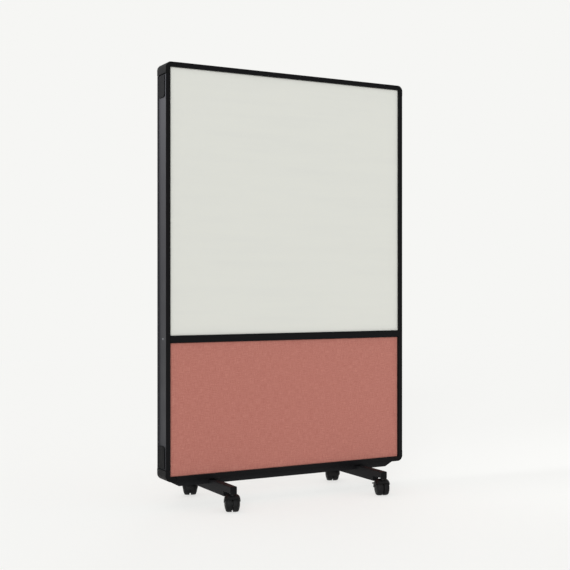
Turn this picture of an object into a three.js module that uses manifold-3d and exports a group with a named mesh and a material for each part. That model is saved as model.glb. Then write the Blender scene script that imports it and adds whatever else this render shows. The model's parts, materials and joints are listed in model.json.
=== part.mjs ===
// A rolling partition: a black aluminium frame with a whiteboard bay above and a fabric
// pin-board bay below, alike on both sides, standing on two bolted steel feet with four
// twin-wheel casters. Millimetres, +Z up, the front faces -Y. The origin lies on the floor
// under the middle of the frame.
import * as THREE from "three";
import { mergeVertices } from "three/addons/utils/BufferGeometryUtils.js";
import Module from "manifold-3d";

const wasm = await Module();
wasm.setup();

// ---------------------------------------------------------------- driving sizes
// Frame
const FRAME_WIDTH = 1200; // outer side to outer side
const FRAME_HEIGHT = 1772; // underside to top
const FRAME_DEPTH = 97.4; // front face to back face
const FRAME_LIFT = 114.6; // underside above the floor
const FACE_WIDTH = 20.6; // stiles and rails seen from the front
const EXTRUSION_WALL = 2;
const EXTRUSION_EDGE = 1; // radius on the long outer edges
const CHANNEL_DEPTH = 7; // open channel round the outside
const GROOVE_WIDTH = 56.8; // inner groove that holds the cores
const FABRIC_BAY_HEIGHT = 565.6; // clear height of the lower bay
const MID_RAIL_HEIGHT = 30.6;
const SCREW_PORT_RADIUS = 4.5; // screw boss along the middle rail's web

// Corner caps
const CAP_LEG = 48; // reach of each leg from the outer corner
const CAP_OUTER_RADIUS = 26;
const CAP_INNER_RADIUS = 4;
const CAP_EDGE = 1.5; // soft edge on the moulding
const CAP_PROUD = 1.2; // outer side past the stiles, as a bumper
const SPIGOT_LENGTH = 26;

// Inserts in the side channels
const INSERT_WIDTH = 42;
const INSERT_LENGTH = 93;
const INSERT_FROM_CAP = 5;
const INSERT_SINK = 2.7; // outer face below the channel's lips
const INSERT_END_RADIUS = 13;

// Panels
const TILE_RECESS = 8.7; // tile faces behind the frame's face
const TRAY_SHEET = 1.2; // folded steel of the whiteboard
const CORE_END_CLEARANCE = 7; // core's edge to the floor of the groove along the rails
const FABRIC_EDGE = 3; // rolled edge of the fabric boards

// Base beam
const BEAM_WIDTH = 33.4;
const BEAM_DROP = 25.9; // underside below the frame
const BEAM_INSET = 25; // from the frame's end to the top of each sloped end
const BEAM_SLOPE_RUN = 54; // level reach of each sloped end
const BEAM_SHEET = 2;
const BEAM_SCREW_SPACING = 360;

// Feet
const FOOT_INSET = 226.5; // middle of each foot from the frame's end
const FOOT_LENGTH = 467.4;
const FOOT_WIDTH = 30;
const FOOT_HEIGHT = 50.5;
const FOOT_LIFT = 58; // underside above the floor
const FOOT_WALL = 2;
const FOOT_ARCH_RISE = 22.5; // raised underside over each caster
const FOOT_ARCH_LENGTH = 69.7;
const FOOT_EDGE = 2; // radius on the tube's long edges
const BRACKET_LENGTH = 80;
const NUT_PLATE_LENGTH = 60;
const NUT_PLATE_THICKNESS = 5;
const END_CAP_THICKNESS = 2.5;
const END_CAP_CHEEK = 14; // reach of the cap's cheeks into the tube

// Fasteners
const BOLT_RADIUS = 4;
const BOLT_HEAD_RADIUS = 6.5;
const BOLT_HEAD_HEIGHT = 8;
const BOLT_SPACING = 17;
const BOLT_SOCKET_RADIUS = 3.5;
const BOLT_SOCKET_DEPTH = 4;
const ACCESS_RADIUS = 8;
const SCREW_RADIUS = 2;
const SCREW_HEAD_RADIUS = 4.5;
const SCREW_HEAD_HEIGHT = 2.6;
const BEAM_SCREW_LENGTH = 9;
const MID_SCREW_LENGTH = 40;

// Casters
const STEM_INSET = 13.7; // stem axis from the foot's end
const STEM_RADIUS = 5;
const STEM_LENGTH = 20; // above the collar
const COLLAR_RADIUS = 9.5;
const COLLAR_HEIGHT = 3;
const SWIVEL_PIN_RADIUS = 4.5;
const SWIVEL_PIN_LENGTH = 7;
const SOCKET_RADIUS = 7.5; // socket welded inside the foot
const TRAIL = 10; // axle behind the swivel axis
const WHEEL_RADIUS = 35; // to the flats of the faceted tread
const WHEEL_GAP = 8; // between the two wheels
const WHEEL_HALF_SPAN = 33; // caster's middle to the crown of a wheel
const WHEEL_CROWN_RADIUS = 50.7; // curve of the domed outer face
const TREAD_WIDTH = 12;
const HOOD_RADIUS = 40;
const HOOD_HALF_WIDTH = 35;
const HOOD_WALL = 2;
const HOOD_ROOF = 2.6;
const HOOD_SQUARENESS = 3.5; // exponent of the hood's superellipse section
const HOOD_REAR_DROP = 8; // hood's rim below the axle at its rear
const HOOD_FRONT_RISE = 26; // hood's rim above the axle at its front
const WEB_THICKNESS = 6;
const WEB_HUB_RADIUS = 19;
const NECK_RADIUS = 10;
const AXLE_RADIUS = 4;
const AXLE_HALF_LENGTH = 29;

// Brake pedals
const PEDAL_REACH = 53.5; // tip from the axle
const PEDAL_HALF_WIDTH = 31;
const PEDAL_THICKNESS = 4.6;
const PIVOT_REACH = 41.5; // pivot behind the axle
const PIVOT_RISE = 12; // pivot above the axle
const BARREL_RADIUS = 3.5;
const BARREL_HALF_LENGTH = 19.6;
const PIVOT_STUD_RADIUS = 2;
const LUG_RADIUS = 4.5;
const LUG_THICKNESS = 4;
const PEDAL_TRAVEL = 24; // degrees from released to braked
const NOSE_THICKNESS = 4.4;
const NOSE_INNER = 7; // near side of a brake nose from the caster's middle
const NOSE_OUTER = 15.5;

// Clearances
const GAP = 0.3; // between pieces that touch
const FIT = 0.4; // round panels in the frame
const BORE_CLEARANCE = 0.3; // round a shaft or screw
const WHEEL_CLEARANCE = 1; // between a wheel and the web

// Facets of round pieces
const WHEEL_SIDES = 20;
const HOOD_SIDES = 18;
const SHAFT_SIDES = 10;
const SCREW_SIDES = 8;

// ---------------------------------------------------------------- derived places
const HALF_WIDTH = FRAME_WIDTH / 2;
const HALF_DEPTH = FRAME_DEPTH / 2;
const FRAME_TOP = FRAME_LIFT + FRAME_HEIGHT;
const WEB_INNER = CHANNEL_DEPTH + EXTRUSION_WALL; // groove's floor from the outer side
const GROOVE_HALF = GROOVE_WIDTH / 2;
const CHAMBER_INNER = FACE_WIDTH - EXTRUSION_WALL;
const CHAMBER_BACK = GROOVE_HALF + EXTRUSION_WALL;
const CHAMBER_FRONT = HALF_DEPTH - EXTRUSION_WALL;
const BAY_HALF_WIDTH = HALF_WIDTH - FACE_WIDTH;
const LOWER_BAY_BOTTOM = FRAME_LIFT + FACE_WIDTH;
const MID_RAIL_BOTTOM = LOWER_BAY_BOTTOM + FABRIC_BAY_HEIGHT;
const MID_RAIL_TOP = MID_RAIL_BOTTOM + MID_RAIL_HEIGHT;
const MID_RAIL_CENTRE = (MID_RAIL_BOTTOM + MID_RAIL_TOP) / 2;
const UPPER_BAY_TOP = FRAME_TOP - FACE_WIDTH;
const TILE_FACE = HALF_DEPTH - TILE_RECESS;
const TILE_BACK = GROOVE_HALF + FIT;
const BEAM_TOP_LENGTH = FRAME_WIDTH - 2 * BEAM_INSET;
const BEAM_BOTTOM_LENGTH = BEAM_TOP_LENGTH - 2 * BEAM_SLOPE_RUN;
const FOOT_SPACING = FRAME_WIDTH - 2 * FOOT_INSET; // between the two feet
const FOOT_TOP = FOOT_LIFT + FOOT_HEIGHT;
const ARCH_ROOF = FOOT_LIFT + FOOT_ARCH_RISE;
const FOOT_HALF_LENGTH = FOOT_LENGTH / 2;
const TUBE_HALF_LENGTH = FOOT_HALF_LENGTH - END_CAP_THICKNESS - GAP;
const BEAM_ROOF_TOP = FRAME_LIFT + CHANNEL_DEPTH - GAP;
const BEAM_ROOF_UNDER = BEAM_ROOF_TOP - BEAM_SHEET;
const NUT_PLATE_UNDER = FRAME_LIFT + WEB_INNER + GAP;
const NUT_PLATE_TOP = NUT_PLATE_UNDER + NUT_PLATE_THICKNESS;
const STEM_Y = FOOT_HALF_LENGTH - STEM_INSET;
const COLLAR_TOP = ARCH_ROOF - GAP;
const COLLAR_UNDER = COLLAR_TOP - COLLAR_HEIGHT;
const NECK_TOP = COLLAR_UNDER - GAP;
const AXLE_BORE = AXLE_RADIUS + BORE_CLEARANCE;
const WHEEL_INNER = WHEEL_GAP / 2;
const TREAD_RADIUS = WHEEL_RADIUS / Math.cos(Math.PI / WHEEL_SIDES);
const NOSE_REACH = Math.hypot(PIVOT_REACH, PIVOT_RISE) - TREAD_RADIUS - GAP;

// ---------------------------------------------------------------- solids
// A closed geometry as a solid that can be joined and cut.
function solid(geometry) {
  const bare = new THREE.BufferGeometry();
  const source = geometry.index ? geometry.toNonIndexed() : geometry;
  bare.setAttribute("position", source.getAttribute("position"));
  const merged = mergeVertices(bare, 1e-4);
  return new wasm.Manifold(
    new wasm.Mesh({
      numProp: 3,
      vertProperties: merged.attributes.position.array,
      triVerts: new Uint32Array(merged.index.array),
    }),
  );
}

// A solid's surface as a geometry with flat faces.
function surface(body) {
  const mesh = body.getMesh();
  const geometry = new THREE.BufferGeometry();
  geometry.setAttribute("position", new THREE.BufferAttribute(mesh.vertProperties, 3));
  geometry.setIndex(new THREE.BufferAttribute(mesh.triVerts, 1));
  const flat = geometry.toNonIndexed();
  flat.computeVertexNormals();
  return flat;
}

function cut(body, ...tools) {
  return tools.reduce((rest, tool) => rest.subtract(tool), body);
}

function join(body, ...others) {
  return others.reduce((sum, other) => sum.add(other), body);
}

// A closed outline through points.
function outline(points) {
  return new THREE.Shape(points.map(([x, y]) => new THREE.Vector2(x, y)));
}

// A rectangle with its own radius at each corner, from the lower left anticlockwise.
function roundedRectangle(x0, y0, x1, y1, [r0, r1, r2, r3]) {
  const shape = new THREE.Shape();
  shape.moveTo(x0 + r0, y0);
  shape.lineTo(x1 - r1, y0);
  if (r1) shape.absarc(x1 - r1, y0 + r1, r1, -Math.PI / 2, 0);
  shape.lineTo(x1, y1 - r2);
  if (r2) shape.absarc(x1 - r2, y1 - r2, r2, 0, Math.PI / 2);
  shape.lineTo(x0 + r3, y1);
  if (r3) shape.absarc(x0 + r3, y1 - r3, r3, Math.PI / 2, Math.PI);
  shape.lineTo(x0, y0 + r0);
  if (r0) shape.absarc(x0 + r0, y0 + r0, r0, Math.PI, 1.5 * Math.PI);
  return shape;
}

// An outline pulled along Z about the middle, with a soft edge at both ends if one is given.
function extruded(shape, length, edge = 0, arcSteps = 4) {
  const geometry = new THREE.ExtrudeGeometry(shape, {
    depth: length - 2 * edge,
    bevelEnabled: edge > 0,
    bevelThickness: edge,
    bevelSize: edge,
    bevelOffset: -edge,
    bevelSegments: 1,
    curveSegments: arcSteps,
  });
  return geometry.translate(0, 0, edge - length / 2);
}

// Outlines drawn as seen from the front (X, Z) and from the side (Y, Z).
const FRONT_VIEW = new THREE.Matrix4().makeBasis(
  new THREE.Vector3(1, 0, 0),
  new THREE.Vector3(0, 0, 1),
  new THREE.Vector3(0, -1, 0),
);
const SIDE_VIEW = new THREE.Matrix4().makeBasis(
  new THREE.Vector3(0, 1, 0),
  new THREE.Vector3(0, 0, 1),
  new THREE.Vector3(1, 0, 0),
);

function frontExtruded(shape, depth, edge = 0, arcSteps = 4) {
  return extruded(shape, depth, edge, arcSteps).applyMatrix4(FRONT_VIEW);
}

function sideExtruded(shape, width, edge = 0, arcSteps = 4) {
  return extruded(shape, width, edge, arcSteps).applyMatrix4(SIDE_VIEW);
}

// A box between two corners.
function box([x0, y0, z0], [x1, y1, z1]) {
  return new THREE.BoxGeometry(x1 - x0, y1 - y0, z1 - z0).translate(
    (x0 + x1) / 2,
    (y0 + y1) / 2,
    (z0 + z1) / 2,
  );
}

// Cylinders along X and along Z between two places, with a flat of the facets facing down.
function cylinderX(radius, x0, x1, sides, y = 0, z = 0) {
  return new THREE.CylinderGeometry(radius, radius, x1 - x0, sides, 1, false, Math.PI / sides)
    .rotateZ(-Math.PI / 2)
    .translate((x0 + x1) / 2, y, z);
}

function cylinderZ(radius, z0, z1, sides, x = 0, y = 0) {
  return new THREE.CylinderGeometry(radius, radius, z1 - z0, sides)
    .rotateX(Math.PI / 2)
    .translate(x, y, (z0 + z1) / 2);
}

// The same for a hole: its facets lie outside the circle, so what passes through clears it.
function drillX(radius, x0, x1, sides, y = 0, z = 0) {
  return solid(cylinderX(radius / Math.cos(Math.PI / sides), x0, x1, sides, y, z));
}

function drillZ(radius, z0, z1, sides, x = 0, y = 0) {
  return solid(cylinderZ(radius / Math.cos(Math.PI / sides), z0, z1, sides, x, y));
}

// A profile of [radius, place] pairs turned about X or about Z.
function turnedX(profile, sides) {
  const points = profile.map(([radius, place]) => new THREE.Vector2(radius, place));
  return new THREE.LatheGeometry(points, sides, Math.PI / sides).rotateZ(-Math.PI / 2);
}

function turnedZ(profile, sides) {
  const points = profile.map(([radius, place]) => new THREE.Vector2(radius, place));
  return new THREE.LatheGeometry(points, sides).rotateX(Math.PI / 2);
}

// ---------------------------------------------------------------- finishes and nodes
const FINISH = {
  frame: { color: 0x1f1f22, roughness: 0.45, metalness: 0.6 },
  moulding: { color: 0x222226, roughness: 0.6, metalness: 0 },
  whiteboard: { color: 0xdcdddb, roughness: 0.25, metalness: 0 },
  fabric: { color: 0xb27064, roughness: 0.95, metalness: 0 },
  core: { color: 0x9a8f7c, roughness: 0.9, metalness: 0 },
  steel: { color: 0x26262a, roughness: 0.5, metalness: 0.3 },
  zinc: { color: 0xa8a9ab, roughness: 0.35, metalness: 0.9 },
  caster: { color: 0x1b1b1c, roughness: 0.55, metalness: 0 },
};

const partition = new THREE.Group();

function add(name, geometry, finish, parent = partition) {
  const mesh = new THREE.Mesh(geometry, new THREE.MeshStandardMaterial(FINISH[finish]));
  mesh.name = name;
  parent.add(mesh);
  return mesh;
}

// ---------------------------------------------------------------- frame extrusions
// The outer section of a stile or rail: x runs inwards from the outer side and y through
// the depth. Two lips flank the outer channel, and the groove lies on the inner side.
function memberSection() {
  const e = EXTRUSION_EDGE;
  const shape = new THREE.Shape();
  shape.moveTo(0, e - HALF_DEPTH);
  shape.absarc(e, e - HALF_DEPTH, e, Math.PI, 1.5 * Math.PI);
  shape.absarc(FACE_WIDTH - e, e - HALF_DEPTH, e, 1.5 * Math.PI, 2 * Math.PI);
  shape.lineTo(FACE_WIDTH, -GROOVE_HALF);
  shape.lineTo(WEB_INNER, -GROOVE_HALF);
  shape.lineTo(WEB_INNER, GROOVE_HALF);
  shape.lineTo(FACE_WIDTH, GROOVE_HALF);
  shape.absarc(FACE_WIDTH - e, HALF_DEPTH - e, e, 0, Math.PI / 2);
  shape.absarc(e, HALF_DEPTH - e, e, Math.PI / 2, Math.PI);
  shape.lineTo(0, CHAMBER_FRONT);
  shape.lineTo(CHANNEL_DEPTH, CHAMBER_FRONT);
  shape.lineTo(CHANNEL_DEPTH, -CHAMBER_FRONT);
  shape.lineTo(0, -CHAMBER_FRONT);
  return shape;
}

// The two hollow chambers along an extrusion, between two places across its section.
function chambers(low, high, length) {
  return [-1, 1].map((side) => {
    const y = [side * CHAMBER_BACK, side * CHAMBER_FRONT].sort((a, b) => a - b);
    return solid(box([low, y[0], -length], [high, y[1], length]));
  });
}

// A stile or rail along Z with round holes through its web at [along, across] places.
function member(length, holes, radius) {
  const bar = solid(extruded(memberSection(), length, 0, 3));
  const drills = holes.map(([along, across]) =>
    drillX(radius, CHANNEL_DEPTH - 1, WEB_INNER + 1, SCREW_SIDES, across, along),
  );
  return cut(bar, ...chambers(WEB_INNER, CHAMBER_INNER, length), ...drills);
}

// Where the foot bolts pass: [along X, across Y] on the frame.
const BOLT_PLACES = [-1, 1].flatMap((side) =>
  [-1, 1].map((end) => [(side * FOOT_SPACING) / 2, (end * BOLT_SPACING) / 2]),
);
const BEAM_SCREW_PLACES = [-1, 1].map((side) => [(side * BEAM_SCREW_SPACING) / 2, 0]);

function addFrame() {
  const stileLength = FRAME_HEIGHT - 2 * (CAP_LEG + GAP);
  const railLength = FRAME_WIDTH - 2 * (CAP_LEG + GAP);
  const stileCentre = FRAME_LIFT + FRAME_HEIGHT / 2;
  const screwBore = SCREW_RADIUS + BORE_CLEARANCE;
  const boltBore = BOLT_RADIUS + BORE_CLEARANCE;
  for (const side of [-1, 1]) {
    const screwPlace = side * (stileCentre - MID_RAIL_CENTRE);
    const stile = member(stileLength, [[screwPlace, 0]], screwBore);
    const mesh = add(side < 0 ? "stile_left" : "stile_right", surface(stile), "frame");
    mesh.position.set(side * HALF_WIDTH, 0, stileCentre);
    mesh.rotation.y = side < 0 ? 0 : Math.PI;
  }
  const top = add("top_rail", surface(member(railLength, [], screwBore)), "frame");
  top.position.z = FRAME_TOP;
  top.rotation.y = Math.PI / 2;
  const drilled = member(railLength, BOLT_PLACES, boltBore);
  const screwDrills = BEAM_SCREW_PLACES.map(([along, across]) =>
    drillX(screwBore, CHANNEL_DEPTH - 1, WEB_INNER + 1, SCREW_SIDES, across, along),
  );
  const bottom = add("bottom_rail", surface(cut(drilled, ...screwDrills)), "frame");
  bottom.position.z = FRAME_LIFT;
  bottom.rotation.y = -Math.PI / 2;
}

// The middle rail: a chamber at each face, joined by a web that carries a screw port.
function addMidRail() {
  const e = EXTRUSION_EDGE;
  const half = MID_RAIL_HEIGHT / 2;
  const web = EXTRUSION_WALL / 2;
  const shape = new THREE.Shape();
  const portAngle = Math.asin(web / SCREW_PORT_RADIUS);
  shape.moveTo(-half, e - HALF_DEPTH);
  shape.absarc(e - half, e - HALF_DEPTH, e, Math.PI, 1.5 * Math.PI);
  shape.absarc(half - e, e - HALF_DEPTH, e, 1.5 * Math.PI, 2 * Math.PI);
  shape.lineTo(half, -GROOVE_HALF);
  shape.lineTo(web, -GROOVE_HALF);
  shape.absarc(0, 0, SCREW_PORT_RADIUS, portAngle - Math.PI / 2, Math.PI / 2 - portAngle);
  shape.lineTo(web, GROOVE_HALF);
  shape.lineTo(half, GROOVE_HALF);
  shape.absarc(half - e, HALF_DEPTH - e, e, 0, Math.PI / 2);
  shape.absarc(e - half, HALF_DEPTH - e, e, Math.PI / 2, Math.PI);
  shape.lineTo(-half, GROOVE_HALF);
  shape.lineTo(-web, GROOVE_HALF);
  shape.absarc(0, 0, SCREW_PORT_RADIUS, Math.PI / 2 + portAngle, 1.5 * Math.PI - portAngle);
  shape.lineTo(-web, -GROOVE_HALF);
  shape.lineTo(-half, -GROOVE_HALF);
  const length = 2 * (BAY_HALF_WIDTH - GAP);
  const inner = half - EXTRUSION_WALL;
  const bore = SCREW_RADIUS + BORE_CLEARANCE;
  const port = drillZ(bore, -length, length, SCREW_SIDES);
  const bar = solid(extruded(shape, length, 0, SCREW_SIDES / 2));
  const rail = cut(bar, ...chambers(-inner, inner, length), port);
  const mesh = add("mid_rail", surface(rail), "frame");
  mesh.position.z = MID_RAIL_CENTRE;
  mesh.rotation.y = -Math.PI / 2;
}

// ---------------------------------------------------------------- corner caps
// One moulded corner with its outer corner at the origin and its legs along +X and +Z.
// Its spigots plug into the chambers of the two extrusions.
function cornerCap(proudX, proudZ) {
  const leg = CAP_LEG;
  const face = FACE_WIDTH;
  const round = CAP_OUTER_RADIUS;
  const inner = face + CAP_INNER_RADIUS;
  const shape = new THREE.Shape();
  shape.moveTo(leg, -proudZ);
  shape.lineTo(leg, face);
  shape.lineTo(inner, face);
  shape.absarc(inner, inner, CAP_INNER_RADIUS, 1.5 * Math.PI, Math.PI, true);
  shape.lineTo(face, leg);
  shape.lineTo(-proudX, leg);
  shape.lineTo(-proudX, round - proudZ);
  shape.absarc(round - proudX, round - proudZ, round, Math.PI, 1.5 * Math.PI);
  const block = solid(frontExtruded(shape, FRAME_DEPTH, CAP_EDGE, 5));

  const groove = new THREE.Shape();
  groove.moveTo(2 * leg, WEB_INNER);
  groove.lineTo(2 * leg, 2 * leg);
  groove.lineTo(WEB_INNER, 2 * leg);
  groove.absarc(round, round, round - WEB_INNER, Math.PI, 1.5 * Math.PI);
  const body = cut(block, solid(frontExtruded(groove, GROOVE_WIDTH, 0, 5)));

  const spigots = [-1, 1].flatMap((side) => {
    const near = side * (CHAMBER_BACK + GAP);
    const far = side * (CHAMBER_FRONT - GAP);
    const y0 = Math.min(near, far);
    const y1 = Math.max(near, far);
    const low = WEB_INNER + GAP;
    const high = CHAMBER_INNER - GAP;
    const root = leg - CAP_EDGE;
    const end = leg + SPIGOT_LENGTH;
    return [
      solid(box([root, y0, low], [end, y1, high])),
      solid(box([low, y0, root], [high, y1, end])),
    ];
  });
  return surface(join(body, ...spigots));
}

function addCornerCaps() {
  const places = [
    { name: "corner_cap_bottom_left", side: -1, z: FRAME_LIFT, turn: 0 },
    { name: "corner_cap_bottom_right", side: 1, z: FRAME_LIFT, turn: -Math.PI / 2 },
    { name: "corner_cap_top_left", side: -1, z: FRAME_TOP, turn: Math.PI / 2 },
    { name: "corner_cap_top_right", side: 1, z: FRAME_TOP, turn: Math.PI },
  ];
  for (const { name, side, z, turn } of places) {
    const upright = turn === 0 || turn === Math.PI; // local X then lies along the rail
    const proud = upright ? [CAP_PROUD, 0] : [0, CAP_PROUD];
    const mesh = add(name, cornerCap(...proud), "moulding");
    mesh.position.set(side * HALF_WIDTH, 0, z);
    mesh.rotation.y = turn;
  }
}

// ---------------------------------------------------------------- channel inserts
// A moulded strip that lies in the side channel next to each cap, with one round end.
function addChannelInserts() {
  const thickness = CHANNEL_DEPTH - GAP - INSERT_SINK;
  const half = INSERT_WIDTH / 2;
  const radii = [INSERT_END_RADIUS, INSERT_END_RADIUS, 0, 0];
  const shape = roundedRectangle(-half, 0, half, INSERT_LENGTH, radii);
  const fromEnd = CAP_LEG + INSERT_FROM_CAP + INSERT_LENGTH;
  for (const side of [-1, 1]) {
    for (const end of [-1, 1]) {
      const name = `channel_insert_${end < 0 ? "bottom" : "top"}_${side < 0 ? "left" : "right"}`;
      const mesh = add(name, sideExtruded(shape, thickness, 0.8, 4), "moulding");
      const z = end < 0 ? FRAME_LIFT + fromEnd : FRAME_TOP - fromEnd;
      mesh.position.set(side * (HALF_WIDTH - INSERT_SINK - thickness / 2), 0, z);
      mesh.rotation.x = end < 0 ? Math.PI : 0;
    }
  }
}

// ---------------------------------------------------------------- panels
// Outline of a bay's tile, with round corners only where it meets the corner caps.
function bayOutline(bottom, top, atTop, inset) {
  const x = BAY_HALF_WIDTH - inset;
  const round = CAP_INNER_RADIUS - FIT + GAP;
  const radii = atTop ? [0, 0, round, round] : [round, round, 0, 0];
  return roundedRectangle(-x, bottom + inset, x, top - inset, radii);
}

// Outline of a core's tongue in the groove, with the corners rounded inside the caps.
function tongueOutline(bottom, top, atTop) {
  const x = HALF_WIDTH - WEB_INNER - FIT;
  const round = CAP_OUTER_RADIUS - WEB_INNER;
  const radii = atTop ? [0, 0, round, round] : [round, round, 0, 0];
  return roundedRectangle(-x, bottom, x, top, radii);
}

// The whiteboards are folded steel trays that sit over a core with a raised field.
function addWhiteboards() {
  const depth = TILE_FACE - TILE_BACK;
  const tray = frontExtruded(bayOutline(MID_RAIL_TOP, UPPER_BAY_TOP, true, FIT), depth);
  const hollow = bayOutline(MID_RAIL_TOP, UPPER_BAY_TOP, true, FIT + TRAY_SHEET);
  for (const side of [-1, 1]) {
    const inside = frontExtruded(hollow, depth).translate(0, -side * TRAY_SHEET, 0);
    const name = side < 0 ? "whiteboard_front" : "whiteboard_back";
    const mesh = add(name, surface(cut(solid(tray), solid(inside))), "whiteboard");
    mesh.position.y = (side * (TILE_FACE + TILE_BACK)) / 2;
  }
  const bottom = MID_RAIL_CENTRE + CORE_END_CLEARANCE;
  const top = FRAME_TOP - WEB_INNER - CORE_END_CLEARANCE;
  const tongue = frontExtruded(tongueOutline(bottom, top, true), GROOVE_WIDTH - 2 * FIT);
  const fieldInset = FIT + TRAY_SHEET + FIT;
  const field = bayOutline(MID_RAIL_TOP, UPPER_BAY_TOP, true, fieldInset);
  const fieldDepth = 2 * (TILE_FACE - TRAY_SHEET - FIT);
  const core = join(solid(tongue), solid(frontExtruded(field, fieldDepth)));
  add("upper_core", surface(core), "core");
}

// The fabric boards are solid, with a rolled front edge, on a plain core.
function addFabricBoards() {
  const depth = TILE_FACE - TILE_BACK;
  const shape = bayOutline(LOWER_BAY_BOTTOM, MID_RAIL_BOTTOM, false, FIT);
  for (const side of [-1, 1]) {
    const name = side < 0 ? "fabric_board_front" : "fabric_board_back";
    const mesh = add(name, frontExtruded(shape, depth, FABRIC_EDGE), "fabric");
    mesh.position.y = (side * (TILE_FACE + TILE_BACK)) / 2;
  }
  const bottom = FRAME_LIFT + WEB_INNER + CORE_END_CLEARANCE;
  const top = MID_RAIL_CENTRE - CORE_END_CLEARANCE;
  const core = frontExtruded(tongueOutline(bottom, top, false), GROOVE_WIDTH - 2 * FIT);
  add("lower_core", core, "core");
}

// ---------------------------------------------------------------- base beam and feet
// A pressed tray, open below, whose roof lies in the bottom rail's channel. Its sides are
// cut out over the feet and its ends slope inwards.
function addBaseBeam() {
  const under = FRAME_LIFT - GAP;
  const low = FRAME_LIFT - BEAM_DROP;
  const roofHalf = HALF_WIDTH - CAP_LEG - 2 * GAP;
  const slope = (BEAM_TOP_LENGTH - BEAM_BOTTOM_LENGTH) / 2 / BEAM_DROP;
  // The tray's side outline, drawn in by a wall and open below when that is asked for.
  const side = (wall, floor) => {
    const lip = BEAM_TOP_LENGTH / 2 - wall * Math.hypot(1, slope);
    const lipHeight = under - (wall ? BEAM_SHEET : 0);
    const foot = lip - (under - floor) * slope;
    const roof = roofHalf - wall;
    const shoulder = lip - (under - lipHeight) * slope;
    return outline([
      [-foot, floor],
      [foot, floor],
      [shoulder, lipHeight],
      [roof, lipHeight],
      [roof, BEAM_ROOF_TOP - wall],
      [-roof, BEAM_ROOF_TOP - wall],
      [-roof, lipHeight],
      [-shoulder, lipHeight],
    ]);
  };
  const shell = solid(frontExtruded(side(0, low), BEAM_WIDTH));
  const inside = frontExtruded(side(BEAM_SHEET, low - 1), BEAM_WIDTH - 2 * BEAM_SHEET);
  const slots = [-1, 1].map((end) => {
    const x = (end * FOOT_SPACING) / 2;
    const half = FOOT_WIDTH / 2 + FIT;
    const y = BEAM_WIDTH;
    return solid(box([x - half, -y, low - 1], [x + half, y, FOOT_TOP + GAP]));
  });
  const boltBore = BOLT_RADIUS + BORE_CLEARANCE;
  const screwBore = SCREW_RADIUS + BORE_CLEARANCE;
  const z0 = BEAM_ROOF_UNDER - 1;
  const z1 = BEAM_ROOF_TOP + 1;
  const drills = [
    ...BOLT_PLACES.map(([x, y]) => drillZ(boltBore, z0, z1, SCREW_SIDES, x, y)),
    ...BEAM_SCREW_PLACES.map(([x, y]) => drillZ(screwBore, z0, z1, SCREW_SIDES, x, y)),
  ];
  const beam = cut(shell, solid(inside), ...slots, ...drills);
  add("base_beam", surface(beam), "steel");
}

// Side outline of a foot: a tube whose underside steps up over each caster.
function footOutline(end, top, roof, arch, under) {
  return outline([
    [-end, top],
    [-end, roof],
    [-arch, roof],
    [-arch, under],
    [arch, under],
    [arch, roof],
    [end, roof],
    [end, top],
  ]);
}

// One foot, with a stem socket inside each end and holes for its two bolts.
function foot() {
  const archStart = FOOT_HALF_LENGTH - FOOT_ARCH_LENGTH;
  const outer = footOutline(TUBE_HALF_LENGTH, FOOT_TOP, ARCH_ROOF, archStart, FOOT_LIFT);
  const inner = footOutline(
    FOOT_HALF_LENGTH,
    FOOT_TOP - FOOT_WALL,
    ARCH_ROOF + FOOT_WALL,
    archStart - FOOT_WALL,
    FOOT_LIFT + FOOT_WALL,
  );
  const section = roundedRectangle(
    -FOOT_WIDTH / 2,
    FOOT_LIFT - 1,
    FOOT_WIDTH / 2,
    FOOT_TOP,
    [0, 0, FOOT_EDGE, FOOT_EDGE],
  );
  const envelope = frontExtruded(section, FOOT_LENGTH, 0, 3);
  const tube = solid(sideExtruded(outer, FOOT_WIDTH)).intersect(solid(envelope));
  const hollow = solid(sideExtruded(inner, FOOT_WIDTH - 2 * FOOT_WALL));
  const stemTop = COLLAR_TOP + STEM_LENGTH + GAP;
  const sockets = [-1, 1].map((end) =>
    solid(cylinderZ(SOCKET_RADIUS, ARCH_ROOF, FOOT_TOP - 1, SHAFT_SIDES, 0, end * STEM_Y)),
  );
  const stemBore = STEM_RADIUS + BORE_CLEARANCE;
  const bores = [-1, 1].flatMap((end) => {
    const boltY = (end * BOLT_SPACING) / 2;
    const boltBore = BOLT_RADIUS + BORE_CLEARANCE;
    return [
      drillZ(stemBore, ARCH_ROOF - 1, stemTop, SHAFT_SIDES, 0, end * STEM_Y),
      drillZ(boltBore, FOOT_TOP - FOOT_WALL - 1, FOOT_TOP + 1, SCREW_SIDES, 0, boltY),
      drillZ(ACCESS_RADIUS, FOOT_LIFT - 1, FOOT_LIFT + FOOT_WALL + 1, SHAFT_SIDES, 0, boltY),
    ];
  });
  return surface(cut(join(cut(tube, hollow), ...sockets), ...bores));
}

// A moulded cap for a foot's end: a plate with two cheeks that pass beside the socket.
function footEndCap() {
  const half = FOOT_WIDTH / 2;
  const radii = [0, 0, FOOT_EDGE, FOOT_EDGE];
  const face = roundedRectangle(-half, ARCH_ROOF, half, FOOT_TOP, radii);
  const plate = frontExtruded(face, END_CAP_THICKNESS, 0.8, 2);
  plate.translate(0, -END_CAP_THICKNESS / 2, 0);
  const outer = half - FOOT_WALL - GAP;
  const inner = SOCKET_RADIUS + WHEEL_CLEARANCE;
  const low = ARCH_ROOF + FOOT_WALL + GAP;
  const high = FOOT_TOP - FOOT_WALL - GAP;
  const cheeks = [
    [-outer, -inner],
    [inner, outer],
  ].map(([x0, x1]) =>
    solid(box([x0, -END_CAP_THICKNESS / 2, low], [x1, END_CAP_CHEEK, high])),
  );
  return surface(join(solid(plate), ...cheeks));
}

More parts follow.
